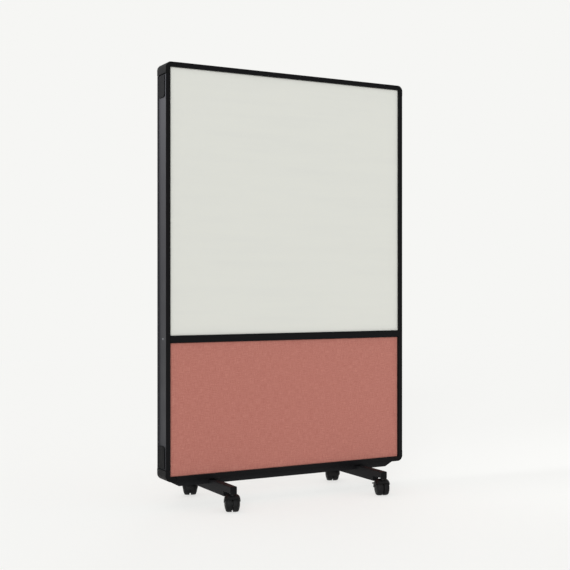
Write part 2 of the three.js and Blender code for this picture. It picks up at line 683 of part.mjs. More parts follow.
// A socket-head bolt with the underside of its head at the origin, pointing up.
function footBolt() {
  const tip = NUT_PLATE_TOP - (FOOT_TOP - FOOT_WALL - GAP);
  const profile = [
    [0, -BOLT_HEAD_HEIGHT],
    [BOLT_HEAD_RADIUS - 0.6, -BOLT_HEAD_HEIGHT],
    [BOLT_HEAD_RADIUS, 0.6 - BOLT_HEAD_HEIGHT],
    [BOLT_HEAD_RADIUS, 0],
    [BOLT_RADIUS, 0],
    [BOLT_RADIUS, tip],
    [0, tip],
  ];
  const socketTop = BOLT_SOCKET_DEPTH - BOLT_HEAD_HEIGHT;
  const socket = cylinderZ(BOLT_SOCKET_RADIUS, -BOLT_HEAD_HEIGHT - 1, socketTop, 6);
  return surface(cut(solid(turnedZ(profile, SCREW_SIDES)), solid(socket)));
}

function addFeet() {
  const boltBore = BOLT_RADIUS + BORE_CLEARANCE;
  const plateHalf = GROOVE_HALF - FIT;
  for (const side of [-1, 1]) {
    const hand = side < 0 ? "left" : "right";
    const x = (side * FOOT_SPACING) / 2;
    add(`foot_${hand}`, foot(), "steel").position.x = x;
    for (const end of [-1, 1]) {
      const cap = add(`foot_end_cap_${end < 0 ? "front" : "rear"}_${hand}`, footEndCap(), "moulding");
      cap.position.set(x, end * (FOOT_HALF_LENGTH - END_CAP_THICKNESS), 0);
      cap.rotation.z = end < 0 ? 0 : Math.PI;
    }
    const drills = (z0, z1) =>
      [-1, 1].map((end) =>
        drillZ(boltBore, z0 - 1, z1 + 1, SCREW_SIDES, 0, (end * BOLT_SPACING) / 2),
      );
    // The bracket fills the beam between the foot and the beam's roof.
    const reach = BRACKET_LENGTH / 2;
    const width = BEAM_WIDTH / 2 - BEAM_SHEET - FIT;
    const z0 = FOOT_TOP + GAP;
    const z1 = BEAM_ROOF_UNDER - GAP;
    const bracket = cut(solid(box([-reach, -width, z0], [reach, width, z1])), ...drills(z0, z1));
    add(`foot_bracket_${hand}`, surface(bracket), "zinc").position.x = x;
    // The nut plate lies in the bottom rail's groove.
    const half = NUT_PLATE_LENGTH / 2;
    const plate = cut(
      solid(box([-half, -plateHalf, NUT_PLATE_UNDER], [half, plateHalf, NUT_PLATE_TOP])),
      ...drills(NUT_PLATE_UNDER, NUT_PLATE_TOP),
    );
    add(`nut_plate_${hand}`, surface(plate), "zinc").position.x = x;
    for (const end of [-1, 1]) {
      const bolt = add(`foot_bolt_${end < 0 ? "front" : "rear"}_${hand}`, footBolt(), "zinc");
      bolt.position.set(x, (end * BOLT_SPACING) / 2, FOOT_TOP - FOOT_WALL - GAP);
    }
  }
}

// ---------------------------------------------------------------- screws
// A pan-head screw with the underside of its head at the origin, pointing up.
function panScrew(length) {
  const profile = [
    [0, -SCREW_HEAD_HEIGHT],
    [SCREW_HEAD_RADIUS - 1.4, -SCREW_HEAD_HEIGHT],
    [SCREW_HEAD_RADIUS, -SCREW_HEAD_HEIGHT / 2],
    [SCREW_HEAD_RADIUS, 0],
    [SCREW_RADIUS, 0],
    [SCREW_RADIUS, length - SCREW_RADIUS],
    [0, length],
  ];
  return turnedZ(profile, SCREW_SIDES);
}

function addScrews() {
  BEAM_SCREW_PLACES.forEach(([x, y]) => {
    const screw = add(`beam_screw_${x < 0 ? "left" : "right"}`, panScrew(BEAM_SCREW_LENGTH), "zinc");
    screw.position.set(x, y, BEAM_ROOF_UNDER - GAP);
  });
  for (const side of [-1, 1]) {
    const name = side < 0 ? "mid_rail_screw_left" : "mid_rail_screw_right";
    const screw = add(name, panScrew(MID_SCREW_LENGTH), "zinc");
    screw.position.set(side * (HALF_WIDTH - CHANNEL_DEPTH + GAP), 0, MID_RAIL_CENTRE);
    screw.rotation.y = (-side * Math.PI) / 2;
  }
}

// ---------------------------------------------------------------- casters
// A caster is drawn about its swivel axis with the floor at zero, trailing along +Y.
const AXLE_Y = TRAIL;
const AXLE_Z = WHEEL_RADIUS;

// The threaded stem with its collar, and below it the pin on which the hood swivels.
function stem() {
  const low = COLLAR_UNDER - SWIVEL_PIN_LENGTH;
  const high = COLLAR_TOP + STEM_LENGTH;
  const profile = [
    [0, low],
    [SWIVEL_PIN_RADIUS, low],
    [SWIVEL_PIN_RADIUS, COLLAR_UNDER],
    [COLLAR_RADIUS, COLLAR_UNDER],
    [COLLAR_RADIUS, COLLAR_TOP],
    [STEM_RADIUS, COLLAR_TOP],
    [STEM_RADIUS, high - 1],
    [STEM_RADIUS - 1, high],
    [0, high],
  ];
  return turnedZ(profile, SHAFT_SIDES);
}

// How far the domed face of a wheel reaches from the caster's middle at a radius.
function wheelFace(radius) {
  const sag = WHEEL_CROWN_RADIUS - Math.sqrt(WHEEL_CROWN_RADIUS ** 2 - radius ** 2);
  return WHEEL_HALF_SPAN - sag;
}

// One wheel on the +X side: domed outside, hollow inside round its hub, with a blind bore.
function wheel() {
  const tread = TREAD_RADIUS;
  const shoulder = tread - 4.5;
  const bore = AXLE_BORE / Math.cos(Math.PI / WHEEL_SIDES);
  const hub = bore + 4.6;
  const dish = WHEEL_INNER + 6;
  const profile = [
    [0, AXLE_HALF_LENGTH + GAP],
    [bore, AXLE_HALF_LENGTH + GAP],
    [bore, WHEEL_INNER],
    [hub, WHEEL_INNER],
    [hub, dish],
    [shoulder - 6, dish],
    [shoulder - 4, WHEEL_INNER],
    [tread, WHEEL_INNER],
    [tread, WHEEL_INNER + TREAD_WIDTH],
    ...[shoulder, 20].map((radius) => [radius, wheelFace(radius)]),
    [0, WHEEL_HALF_SPAN],
  ];
  return turnedX(profile, WHEEL_SIDES);
}

// Points of a superellipse quarter as [radius, place], from the axis to the middle plane.
function superellipse(radius, place, steps) {
  const power = 2 / HOOD_SQUARENESS;
  return Array.from({ length: steps + 1 }, (_, i) => {
    const angle = ((i / steps) * Math.PI) / 2;
    const out = radius * Math.sin(angle) ** power;
    const along = place * Math.max(0, Math.cos(angle)) ** power;
    return [out, along];
  });
}

// Two lugs behind the hood that hold the brake pedal's studs.
function pivotLugs() {
  const start = BARREL_HALF_LENGTH + GAP;
  const tilt = Math.atan2(PIVOT_RISE, PIVOT_REACH);
  const root = LUG_RADIUS + 3.5;
  return [-1, 1].map((side) => {
    const x = side * (start + LUG_THICKNESS / 2);
    const eye = cylinderX(LUG_RADIUS, x - LUG_THICKNESS / 2, x + LUG_THICKNESS / 2, SHAFT_SIDES);
    const arm = box(
      [x - LUG_THICKNESS / 2, -root, -LUG_RADIUS],
      [x + LUG_THICKNESS / 2, 0, LUG_RADIUS],
    ).rotateX(tilt);
    return join(solid(eye), solid(arm)).translate([0, PIVOT_REACH, PIVOT_RISE]);
  });
}

// The hood about the axle's centre: a shell over both wheels, a web between them that
// carries the axle, a neck for the swivel pin and, on a braked caster, the pedal's lugs.
function hood(braked) {
  const steps = 4;
  const web = WEB_THICKNESS / 2;
  const quarter = superellipse(HOOD_RADIUS, HOOD_HALF_WIDTH, steps);
  const half = quarter.slice(0, -1).map(([radius, place]) => [radius, -place]);
  const shell = solid(turnedX([...half, ...quarter.reverse()], HOOD_SIDES));
  const neckTop = NECK_TOP - AXLE_Z;
  const neck = solid(cylinderZ(NECK_RADIUS, 0, neckTop, SHAFT_SIDES, 0, -AXLE_Y));

  const inner = superellipse(HOOD_RADIUS - HOOD_ROOF, HOOD_HALF_WIDTH - HOOD_WALL, steps);
  const wheelSpace = [[0, web], ...inner.reverse().map(([r, place]) => [r, Math.max(place, web)])];
  const right = solid(turnedX(wheelSpace, HOOD_SIDES));
  const left = right.mirror([1, 0, 0]);

  const far = 2 * HOOD_RADIUS;
  const below = outline([
    [-far, HOOD_FRONT_RISE + (HOOD_FRONT_RISE + HOOD_REAR_DROP) / 2],
    [-far, -far],
    [far, -far],
    [far, -HOOD_REAR_DROP - (HOOD_FRONT_RISE + HOOD_REAR_DROP) / 2],
  ]);
  const hub = solid(cylinderX(WEB_HUB_RADIUS, -web, web, HOOD_SIDES));
  const pinBore = SWIVEL_PIN_RADIUS + BORE_CLEARANCE;
  const pinEnd = neckTop + GAP - SWIVEL_PIN_LENGTH - WHEEL_CLEARANCE;
  const pinDrill = drillZ(pinBore, pinEnd, neckTop + 1, SHAFT_SIDES, 0, -AXLE_Y);
  const axleDrill = drillX(AXLE_BORE, -far, far, SHAFT_SIDES);
  const dome = cut(join(shell, neck), right, left, solid(sideExtruded(below, 4 * far)));
  let body = cut(join(dome, hub), pinDrill, axleDrill);
  if (braked) {
    const pivot = [PIVOT_REACH, PIVOT_RISE];
    const relief = BARREL_RADIUS + 2 * GAP;
    const barrelEnd = BARREL_HALF_LENGTH + GAP;
    const noseSweep = NOSE_REACH + 2 * GAP;
    const nose = [NOSE_INNER - WHEEL_CLEARANCE, NOSE_OUTER + WHEEL_CLEARANCE];
    const studBore = PIVOT_STUD_RADIUS + BORE_CLEARANCE;
    body = cut(
      join(body, ...pivotLugs()),
      drillX(relief, -barrelEnd, barrelEnd, SHAFT_SIDES, ...pivot),
      drillX(noseSweep, nose[0], nose[1], SHAFT_SIDES, ...pivot),
      drillX(noseSweep, -nose[1], -nose[0], SHAFT_SIDES, ...pivot),
      drillX(studBore, -HOOD_HALF_WIDTH, HOOD_HALF_WIDTH, SCREW_SIDES, ...pivot),
    );
  }
  return surface(body);
}

// The brake pedal about its pivot: a barrel with studs, a foot plate and two brake noses.
function brakePedal() {
  const barrel = cylinderX(BARREL_RADIUS, -BARREL_HALF_LENGTH, BARREL_HALF_LENGTH, SHAFT_SIDES);
  const studEnd = BARREL_HALF_LENGTH + GAP + LUG_THICKNESS;
  const studs = cylinderX(PIVOT_STUD_RADIUS, -studEnd, studEnd, SCREW_SIDES);
  const tip = PEDAL_REACH - PIVOT_REACH;
  const half = PEDAL_THICKNESS / 2;
  const wingStart = LUG_RADIUS + 2 * GAP;
  // The plate's side outline from a start to its rounded, slightly drooping tip.
  const plate = (start) => {
    const shape = new THREE.Shape();
    shape.moveTo(start, -half - 0.2);
    shape.lineTo(tip - half, -half - 1);
    shape.absarc(tip - half, -1, half, -Math.PI / 2, Math.PI / 2);
    shape.lineTo(start, half);
    return shape;
  };
  const middle = sideExtruded(plate(0), 2 * BARREL_HALF_LENGTH);
  const wings = sideExtruded(plate(wingStart), 2 * PEDAL_HALF_WIDTH, 1.2);
  // Braked, the upper corner of each nose lies on the line from the pivot to the axle.
  const nose = NOSE_THICKNESS / 2;
  const noseAngle = Math.asin(nose / NOSE_REACH);
  const noseLength = NOSE_REACH * Math.cos(noseAngle);
  const line = Math.atan2(PIVOT_RISE, PIVOT_REACH);
  const tilt = line + noseAngle + THREE.MathUtils.degToRad(PEDAL_TRAVEL);
  const noses = [-1, 1].map((side) => {
    const x = [side * NOSE_INNER, side * NOSE_OUTER].sort((a, b) => a - b);
    return solid(box([x[0], -noseLength, -nose], [x[1], 0, nose]).rotateX(tilt));
  });
  return surface(join(solid(barrel), solid(studs), solid(middle), solid(wings), ...noses));
}

function addCasters() {
  const places = [
    { name: "front_left", x: -1, y: -1, turn: -22, braked: true },
    { name: "front_right", x: 1, y: -1, turn: -17, braked: true },
    { name: "rear_left", x: -1, y: 1, turn: 158, braked: false },
    { name: "rear_right", x: 1, y: 1, turn: 158, braked: false },
  ];
  for (const { name, x, y, turn, braked } of places) {
    const caster = new THREE.Group();
    caster.position.set((x * FOOT_SPACING) / 2, y * STEM_Y, 0);
    caster.rotation.z = THREE.MathUtils.degToRad(turn);
    partition.add(caster);
    add(`caster_stem_${name}`, stem(), "zinc", caster);
    const running = new THREE.Group();
    running.position.set(0, AXLE_Y, AXLE_Z);
    caster.add(running);
    add(`caster_hood_${name}`, hood(braked), "caster", running);
    const axle = cylinderX(AXLE_RADIUS, -AXLE_HALF_LENGTH, AXLE_HALF_LENGTH, SHAFT_SIDES);
    add(`caster_axle_${name}`, axle, "zinc", running);
    add(`caster_wheel_a_${name}`, wheel(), "caster", running);
    add(`caster_wheel_b_${name}`, wheel(), "caster", running).rotation.z = Math.PI;
    if (braked) {
      const pedal = add(`brake_pedal_${name}`, brakePedal(), "caster", running);
      pedal.position.set(0, PIVOT_REACH, PIVOT_RISE);
    }
  }
}

addFrame();
addMidRail();
addCornerCaps();
addChannelInserts();
addWhiteboards();
addFabricBoards();
addBaseBeam();
addFeet();
addScrews();
addCasters();

export default partition;
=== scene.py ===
"""A rolling partition: whiteboard over a cloth pin board in a black frame on casters.

Every class below holds one sub-assembly. Its sizes are dataclass fields in millimetres,
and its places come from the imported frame, so that each piece lies on what carries it.
"""

import json
import logging
import math
from collections.abc import Callable, Iterable
from dataclasses import dataclass
from enum import Enum

import bmesh
import bpy
from mathutils import Matrix, Vector

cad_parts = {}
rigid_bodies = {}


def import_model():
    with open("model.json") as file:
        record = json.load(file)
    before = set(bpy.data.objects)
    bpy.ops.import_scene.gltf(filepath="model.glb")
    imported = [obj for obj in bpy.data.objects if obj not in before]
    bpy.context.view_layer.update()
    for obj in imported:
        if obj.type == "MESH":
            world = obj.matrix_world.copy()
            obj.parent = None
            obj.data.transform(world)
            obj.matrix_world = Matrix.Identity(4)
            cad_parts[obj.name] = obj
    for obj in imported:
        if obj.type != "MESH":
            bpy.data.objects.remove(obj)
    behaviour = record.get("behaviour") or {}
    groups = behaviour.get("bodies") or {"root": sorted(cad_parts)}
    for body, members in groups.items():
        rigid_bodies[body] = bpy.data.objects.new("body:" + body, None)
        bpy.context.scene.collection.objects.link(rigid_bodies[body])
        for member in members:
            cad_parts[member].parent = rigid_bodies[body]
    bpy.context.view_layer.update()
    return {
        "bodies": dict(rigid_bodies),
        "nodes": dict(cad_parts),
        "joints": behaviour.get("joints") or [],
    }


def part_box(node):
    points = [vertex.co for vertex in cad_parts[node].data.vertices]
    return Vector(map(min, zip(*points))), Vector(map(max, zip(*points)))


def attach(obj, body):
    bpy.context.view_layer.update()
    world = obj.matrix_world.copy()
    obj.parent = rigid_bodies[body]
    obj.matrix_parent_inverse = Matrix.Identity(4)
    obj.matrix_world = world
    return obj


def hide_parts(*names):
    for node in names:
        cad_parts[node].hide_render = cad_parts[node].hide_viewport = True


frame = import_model()

LOG = logging.getLogger("partition")
MM = 0.001

Point = tuple[float, float]
Triple = tuple[float, float, float]
Colour = tuple[float, float, float, float]
BMesh = bmesh.types.BMesh
Edge = bmesh.types.BMEdge
Node = bpy.types.Node
Socket = bpy.types.NodeSocket

ACROSS = Vector((1, 0, 0)).freeze()  # to the right, seen from the front
DEPTH = Vector((0, 1, 0)).freeze()  # from the front face to the back
UP = Vector((0, 0, 1)).freeze()


# ---------------------------------------------------------------- options
class Axis(Enum):
    """A direction of the row frame."""

    X = "X"
    Y = "Y"
    Z = "Z"


class Side(Enum):
    """The two faces of the partition, by the sign of Y."""

    FRONT = -1
    BACK = 1

    @property
    def foot_end(self) -> str:
        """The word for the feet's ends on this side."""
        return "front" if self is Side.FRONT else "rear"


class Hand(Enum):
    """The two ends of the partition seen from the front, by the sign of X."""

    LEFT = -1
    RIGHT = 1

    @property
    def word(self) -> str:
        """The word for this end in the nodes' names."""
        return self.name.lower()


# ---------------------------------------------------------------- colours and nodes
def to_linear(code: str) -> Colour:
    """Turns an sRGB hex colour into the linear one that a shader takes.

    Args:
        code: six hex digits.

    Returns:
        Red, green, blue and an alpha of one.
    """
    channels = [int(code[i : i + 2], 16) / 255 for i in (0, 2, 4)]
    red, green, blue = (
        c / 12.92 if c <= 0.04045 else ((c + 0.055) / 1.055) ** 2.4 for c in channels
    )
    return red, green, blue, 1.0


def add_node(
    tree: bpy.types.NodeTree, kind: str,
    settings: dict[str | int, object] | None = None,
    links: dict[str | int, Socket] | None = None,
) -> Node:
    """Adds a shader node with its settings and incoming links.

    Args:
        tree: the material's or the world's tree.
        kind: the node's type without the word ShaderNode.
        settings: values for inputs, by name or number, or for the node's own options.
        links: what feeds each input, by name or number.

    Returns:
        The new node.
    """
    made = tree.nodes.new("ShaderNode" + kind)
    for key, value in (settings or {}).items():
        if isinstance(key, int) or key in made.inputs:
            made.inputs[key].default_value = value
        else:
            setattr(made, key, value)
    for key, source in (links or {}).items():
        tree.links.new(source, made.inputs[key])
    return made


@dataclass(frozen=True)
class Nodes:
    """A material's tree and surface shader, and the steps that patterns are made of."""

    tree: bpy.types.NodeTree
    shader: Node

    def coords(self) -> Socket:
        """The place on the object, in metres."""
        return add_node(self.tree, "TexCoord").outputs["Object"]

    def stretch(self, at: Socket, scale: Triple, turn: float = 0.0) -> Socket:
        """Coordinates turned about Y, in degrees, and multiplied by a number each."""
        settings = {"Rotation": (0.0, math.radians(turn), 0.0), "Scale": scale}
        made = add_node(self.tree, "Mapping", settings, {"Vector": at})
        return made.outputs["Vector"]

    def noise(
        self, at: Socket, scale: float, detail: float, rough: float = 0.5
    ) -> Socket:
        """Cloudy noise from 0 to 1, with a number of cells to the metre."""
        settings = {"Scale": scale, "Detail": detail, "Roughness": rough}
        return add_node(self.tree, "TexNoise", settings, {"Vector": at}).outputs["Fac"]

    def maths(self, operation: str, *values: Socket | float) -> Socket:
        """The result of an operation on sockets and plain numbers."""
        plain = {i: v for i, v in enumerate(values) if isinstance(v, float)}
        fed = {i: v for i, v in enumerate(values) if not isinstance(v, float)}
        made = add_node(self.tree, "Math", {"operation": operation, **plain}, fed)
        return made.outputs["Value"]

    def remap(self, value: Socket, to: Point, source: Point = (0.0, 1.0)) -> Socket:
        """A value cut off at the ends of one range and moved into another."""
        names = ("From Min", "From Max", "To Min", "To Max")
        settings = dict(zip(names, (*source, *to)))
        made = add_node(self.tree, "MapRange", settings, {"Value": value})
        return made.outputs["Result"]

    def blend(self, factor: Socket, first: Colour | Socket, second: Colour) -> Socket:
        """A colour that goes from the first to the second with the factor."""
        settings, links = {"data_type": "RGBA", 7: second}, {0: factor}
        (links if isinstance(first, Socket) else settings)[6] = first
        return add_node(self.tree, "Mix", settings, links).outputs[2]

    def feed(self, name: str, source: Socket) -> None:
        """Lets a pattern drive one of the surface shader's inputs."""
        self.tree.links.new(source, self.shader.inputs[name])

    def bump(self, height: Socket, depth_mm: float, strength: float) -> None:
        """Lets a height pattern tilt the surface.

        Args:
            height: the pattern, from 0 to 1.
            depth_mm: how deep it goes.
            strength: how much of the tilt shows.
        """
        settings = {"Distance": depth_mm * MM, "Strength": strength}
        made = add_node(self.tree, "Bump", settings, {"Height": height})
        self.feed("Normal", made.outputs["Normal"])


# ---------------------------------------------------------------- finishes
@dataclass(frozen=True)
class Paint:
    """A material, the record's slot that it stands for and, on some, a second one."""

    material: bpy.types.Material
    slot: str
    second: bpy.types.Material | None = None


@dataclass(frozen=True)
class Finish:
    """What all finishes share; each kind adds its own pattern."""

    name: str
    colour: str
    roughness: float = 0.5
    metallic: float = 0.0
    ior: float = 1.5
    gloss: float = 0.5  # specular level: 0.5 is a bare smooth surface

    def make(self) -> bpy.types.Material:
        """Makes the material, with the pattern that the finish adds."""
        material = bpy.data.materials.new(self.name)
        material.use_nodes = True
        shader = material.node_tree.nodes["Principled BSDF"]
        for key, value in (
            ("Base Color", to_linear(self.colour)), ("Roughness", self.roughness),
            ("Metallic", self.metallic), ("IOR", self.ior),
            ("Specular IOR Level", self.gloss),
        ):
            shader.inputs[key].default_value = value
        self.add_pattern(Nodes(material.node_tree, shader))
        return material

    def paint(self, slot: str, second: bpy.types.Material | None = None) -> Paint:
        """Makes the material and ties it to its slot."""
        return Paint(self.make(), slot, second)

    def add_pattern(self, nodes: Nodes) -> None:
        """Adds the finish's own nodes; a plain finish has none."""

    def tint(self, nodes: Nodes, factor: Socket, other: str) -> None:
        """Mixes a second colour into the finish's own by a pattern from 0 to 1."""
        mixed = nodes.blend(factor, to_linear(self.colour), to_linear(other))
        nodes.feed("Base Color", mixed)

    def vary(
        self, nodes: Nodes, value: Socket, low: float, high: float,
        source: Point = (0.0, 1.0),
    ) -> None:
        """Lets a pattern move the roughness.

        Args:
            nodes: the material's nodes.
            value: the pattern.
            low: what is added to the roughness where the pattern is lowest.
            high: what is added where it is highest.
            source: the pattern's own lowest and highest value.
        """
        span = (self.roughness + low, self.roughness + high)
        nodes.feed("Roughness", nodes.remap(value, span, source))


@dataclass(frozen=True)
class AnodisedAluminium(Finish):
    """Dyed anodised extrusion: satin, with faint draw lines along the bar."""

    along: Axis = Axis.Z
    line_mm: float = 1.6  # real lines are about 0.2 mm apart, which is too fine to show
    line_length_mm: float = 180.0

    def add_pattern(self, nodes: Nodes) -> None:
        """Adds streaks that run along the bar to the roughness and the bump."""
        across, length = 1 / (self.line_mm * MM), 1 / (self.line_length_mm * MM)
        scale = tuple(length if axis is self.along else across for axis in Axis)
        coords = nodes.coords()
        streaks = nodes.noise(nodes.stretch(coords, scale), 1.0, 3.0, 0.6)
        clouds = nodes.noise(coords, 9.0, 2.0)
        both = nodes.maths("MULTIPLY_ADD", streaks, 0.5, clouds)
        self.vary(nodes, both, -0.05, 0.07, (0.5, 1.0))
        nodes.bump(streaks, 0.02, 0.35)


@dataclass(frozen=True)
class MouldedPlastic(Finish):
    """Moulded ABS or nylon: the fine spark-eroded grain of its mould."""

    grain_mm: float = 0.7
    grain_depth_mm: float = 0.03
    worn: str = "3a3a3d"

    def add_pattern(self, nodes: Nodes) -> None:
        """Adds the grain, and slight clouds in colour and gloss from handling."""
        coords = nodes.coords()
        grain = nodes.noise(coords, 1 / (self.grain_mm * MM), 2.0)
        clouds = nodes.noise(coords, 22.0, 3.0)
        self.tint(nodes, nodes.remap(clouds, (0.0, 0.45), (0.45, 0.8)), self.worn)
        self.vary(nodes, clouds, 0.08, -0.08)
        nodes.bump(grain, self.grain_depth_mm, 0.6)


@dataclass(frozen=True)
class PowderCoat(Finish):
    """Baked polyester powder on steel: the low ripple called orange peel."""

    peel_mm: float = 2.2
    peel_depth_mm: float = 0.03

    def add_pattern(self, nodes: Nodes) -> None:
        """Adds the ripple and a fine speck in the gloss."""
        coords = nodes.coords()
        peel = nodes.noise(coords, 1 / (self.peel_mm * MM), 1.0)
        self.vary(nodes, nodes.noise(coords, 900.0, 2.0), -0.06, 0.06)
        nodes.bump(peel, self.peel_depth_mm, 0.5)


@dataclass(frozen=True)
class VitreousEnamel(Finish):
    """Glass enamel fired on steel sheet: hard satin gloss over a very slight wave."""

    wave_mm: float = 70.0
    wiped: str = "d6d7d2"
    wipe_turn: float = 28.0  # degrees that the wiped streaks slope

    def add_pattern(self, nodes: Nodes) -> None:
        """Adds the sheet's wave, and long soft streaks where the board was wiped."""
        coords = nodes.coords()
        wave = nodes.noise(coords, 1 / (self.wave_mm * MM), 1.0)
        tilt = nodes.stretch(coords, (1.2, 1.0, 14.0), self.wipe_turn)
        wipes = nodes.noise(tilt, 1.6, 4.0, 0.55)
        self.tint(nodes, nodes.remap(wipes, (0.0, 0.35), (0.45, 0.75)), self.wiped)
        self.vary(nodes, wipes, -0.04, 0.1)
        nodes.bump(wave, 0.12, 0.25)


@dataclass(frozen=True)
class WovenWool(Finish):
    """Plain-woven wool blend: two crossing threads, slubs in both and a matt sheen."""

    thread_mm: float = 2.2  # real threads lie 0.9 mm apart, which is too fine to show
    thread_depth_mm: float = 0.35
    weft: str = "a5655a"
    slub: str = "c98a7c"
    slub_mm: float = 2.5
    slub_length_mm: float = 30.0

    def add_pattern(self, nodes: Nodes) -> None:
        """Adds the weave, its two thread colours, slubs and a soft sheen."""
        coords = nodes.coords()
        axes = add_node(nodes.tree, "SeparateXYZ", {}, {"Vector": coords}).outputs
        turns = math.pi / (self.thread_mm * MM)
        waves = [
            nodes.maths("SINE", nodes.maths("MULTIPLY", axes[name], turns))
            for name in ("X", "Z")
        ]
        crossing = nodes.maths("MULTIPLY", *waves)
        over = nodes.maths("GREATER_THAN", crossing, 0.0)
        across, along = 1 / (self.slub_mm * MM), 1 / (self.slub_length_mm * MM)
        slubs = [
            nodes.noise(nodes.stretch(coords, (x, 1 / MM, z)), 1.0, 2.0)
            for x, z in ((along, across), (across, along))
        ]
        heather = nodes.remap(nodes.maths("MULTIPLY", *slubs), (0.0, 0.5), (0.18, 0.4))
        threads = nodes.blend(over, to_linear(self.colour), to_linear(self.weft))
        nodes.feed("Base Color", nodes.blend(heather, threads, to_linear(self.slub)))
        nodes.shader.inputs["Sheen Weight"].default_value = 0.25
        nodes.shader.inputs["Sheen Roughness"].default_value = 0.5
        nodes.bump(nodes.maths("ABSOLUTE", crossing), self.thread_depth_mm, 0.5)


@dataclass(frozen=True)
class ZincPlate(Finish):
    """Bright zinc plating on turned or pressed steel: fine mottled grey metal."""

    spangle_mm: float = 1.5
    dull: str = "8d8f92"

    def add_pattern(self, nodes: Nodes) -> None:
        """Adds the plating's mottle to colour and gloss."""
        mottle = nodes.noise(nodes.coords(), 1 / (self.spangle_mm * MM), 3.0)
        self.tint(nodes, mottle, self.dull)
        self.vary(nodes, mottle, -0.08, 0.12)
        nodes.bump(mottle, 0.01, 0.4)


@dataclass(frozen=True)
class KraftBoard(Finish):
    """Pressed kraft paper board over honeycomb: matt brown-grey with short fibres."""

    fibre: str = "837862"

    def add_pattern(self, nodes: Nodes) -> None:
        """Adds short fibres in two tones."""
        drawn = nodes.stretch(nodes.coords(), (220.0, 220.0, 60.0))
        fibres = nodes.noise(drawn, 1.0, 4.0)
        self.tint(nodes, fibres, self.fibre)
        nodes.bump(fibres, 0.05, 0.4)


@dataclass(frozen=True)
class StudioPaper(Finish):
    """Seamless paper: it shows camera and mirrors one pale tone, and takes shadows."""

    light: float = 0.79  # what reaches open floor, where 1 shows a colour as written
    share: float = 0.4  # what lamps give of the shown tone; the paper glows the rest

    def add_pattern(self, nodes: Nodes) -> None:
        """Evens out the tone that camera, glossy and transmission rays meet."""
        path = add_node(nodes.tree, "LightPath").outputs
        seen = nodes.maths("MAXIMUM", path["Is Camera Ray"], path["Is Glossy Ray"])
        shown = nodes.maths("MAXIMUM", seen, path["Is Transmission Ray"])
        full = to_linear(self.colour)
        dim = (*(channel * self.share for channel in full[:3]), 1.0)
        nodes.feed("Base Color", nodes.blend(shown, full, dim))
        nodes.shader.inputs["Emission Color"].default_value = full
        glow = nodes.maths("MULTIPLY", shown, 1.0 - self.share * self.light)
        nodes.feed("Emission Strength", glow)


class Paints:
    """The object's paints, each made once."""

    def __init__(self) -> None:
        """Makes every material."""
        self.upright = self.bar("upright", Axis.Z)
        self.level = self.bar("level", Axis.X)
        self.middle = Paint(self.level.material, self.level.slot)
        self.cap = MouldedPlastic(
            "moulded_abs_black", "0c0c0d", 0.55, gloss=0.1, worn="151516"
        ).paint("black_moulding")
        self.insert = MouldedPlastic(
            "moulded_pvc_charcoal", "0e0e10", 0.6, gloss=0.1, worn="161618"
        ).paint("black_moulding")
        self.enamel = VitreousEnamel(
            "white_enamelled_steel", "dcddd6", 0.32, gloss=0.35
        ).paint("enamel_white")
        self.cloth = WovenWool(
            "woven_wool_terracotta", "b87468", 0.92, gloss=0.2
        ).paint("terracotta_cloth")
        self.core = KraftBoard("kraft_honeycomb_board", "9a8f7c", 0.9).make()
        self.steel = PowderCoat(
            "black_powder_coated_steel", "161618", 0.6, gloss=0.15
        ).paint("black_steel")
        zinc = ZincPlate("zinc_plated_steel", "a6a8ab", 0.35, 0.9)
        self.zinc = zinc.paint("zinc_steel")
        self.nylon = MouldedPlastic(
            "moulded_nylon_black", "0d0d0e", 0.48, gloss=0.18, worn="171718"
        ).paint("black_nylon")
        tread = MouldedPlastic(
            "polyurethane_tread_black", "111112", 0.6, gloss=0.15, grain_mm=1.2,
            worn="1f1f20",
        )
        self.wheel = Paint(self.nylon.material, self.nylon.slot, tread.make())

    @staticmethod
    def bar(word: str, along: Axis) -> Paint:
        """The paint of bars that lie one way, with a paler grey copy on their channels
        as painted sheen and side light.
        """
        # painted sheen: the channel's paler grey stands for side light and sheen on the
        # same black anodising
        grey = AnodisedAluminium(
            f"grey_anodised_{word}", "3a3a3e", 0.5, 0.3, gloss=0.3, along=along
        )
        return AnodisedAluminium(
            f"black_anodised_{word}", "0c0c0e", 0.42, 0.1, gloss=0.12, along=along
        ).paint("anodised_frame", grey.make())


# ---------------------------------------------------------------- mesh helpers
def box_mm(node: str) -> tuple[Vector, Vector]:
    """A CAD node's lowest and highest corners in millimetres."""
    low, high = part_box(node)
    return Vector(low) / MM, Vector(high) / MM


def arc(
    centre: Point, radius: float, start: float, end: float, steps: int
) -> list[Point]:
    """Points along an arc, both ends included.

    Args:
        centre: the arc's centre.
        radius: its radius.
        start: the angle of its first point, in degrees.
        end: the angle of its last point.
        steps: the number of chords.

    Returns:
        The points in order.
    """
    angles = [math.radians(start + (end - start) * i / steps) for i in range(steps + 1)]
    return [
        (centre[0] + radius * math.cos(a), centre[1] + radius * math.sin(a))
        for a in angles
    ]


def rounded_rectangle(
    low: Point, high: Point, radii: Colour, steps: int = 8
) -> list[Point]:
    """A rectangle's outline with its own radius at each corner.

    Args:
        low: the lower left corner.
        high: the upper right corner.
        radii: the radii from the lower left corner anticlockwise; zero leaves it sharp.
        steps: the number of chords in a round corner.

    Returns:
        The points anticlockwise.
    """
    corners = [
        (low[0], low[1], 1, 1, 180), (high[0], low[1], -1, 1, 270),
        (high[0], high[1], -1, -1, 0), (low[0], high[1], 1, -1, 90),
    ]
    points: list[Point] = []
    for (x, y, right, up, start), radius in zip(corners, radii):
        if radius:
            centre = (x + right * radius, y + up * radius)
            points += arc(centre, radius, start, start + 90, steps)
        else:
            points.append((x, y))
    return points


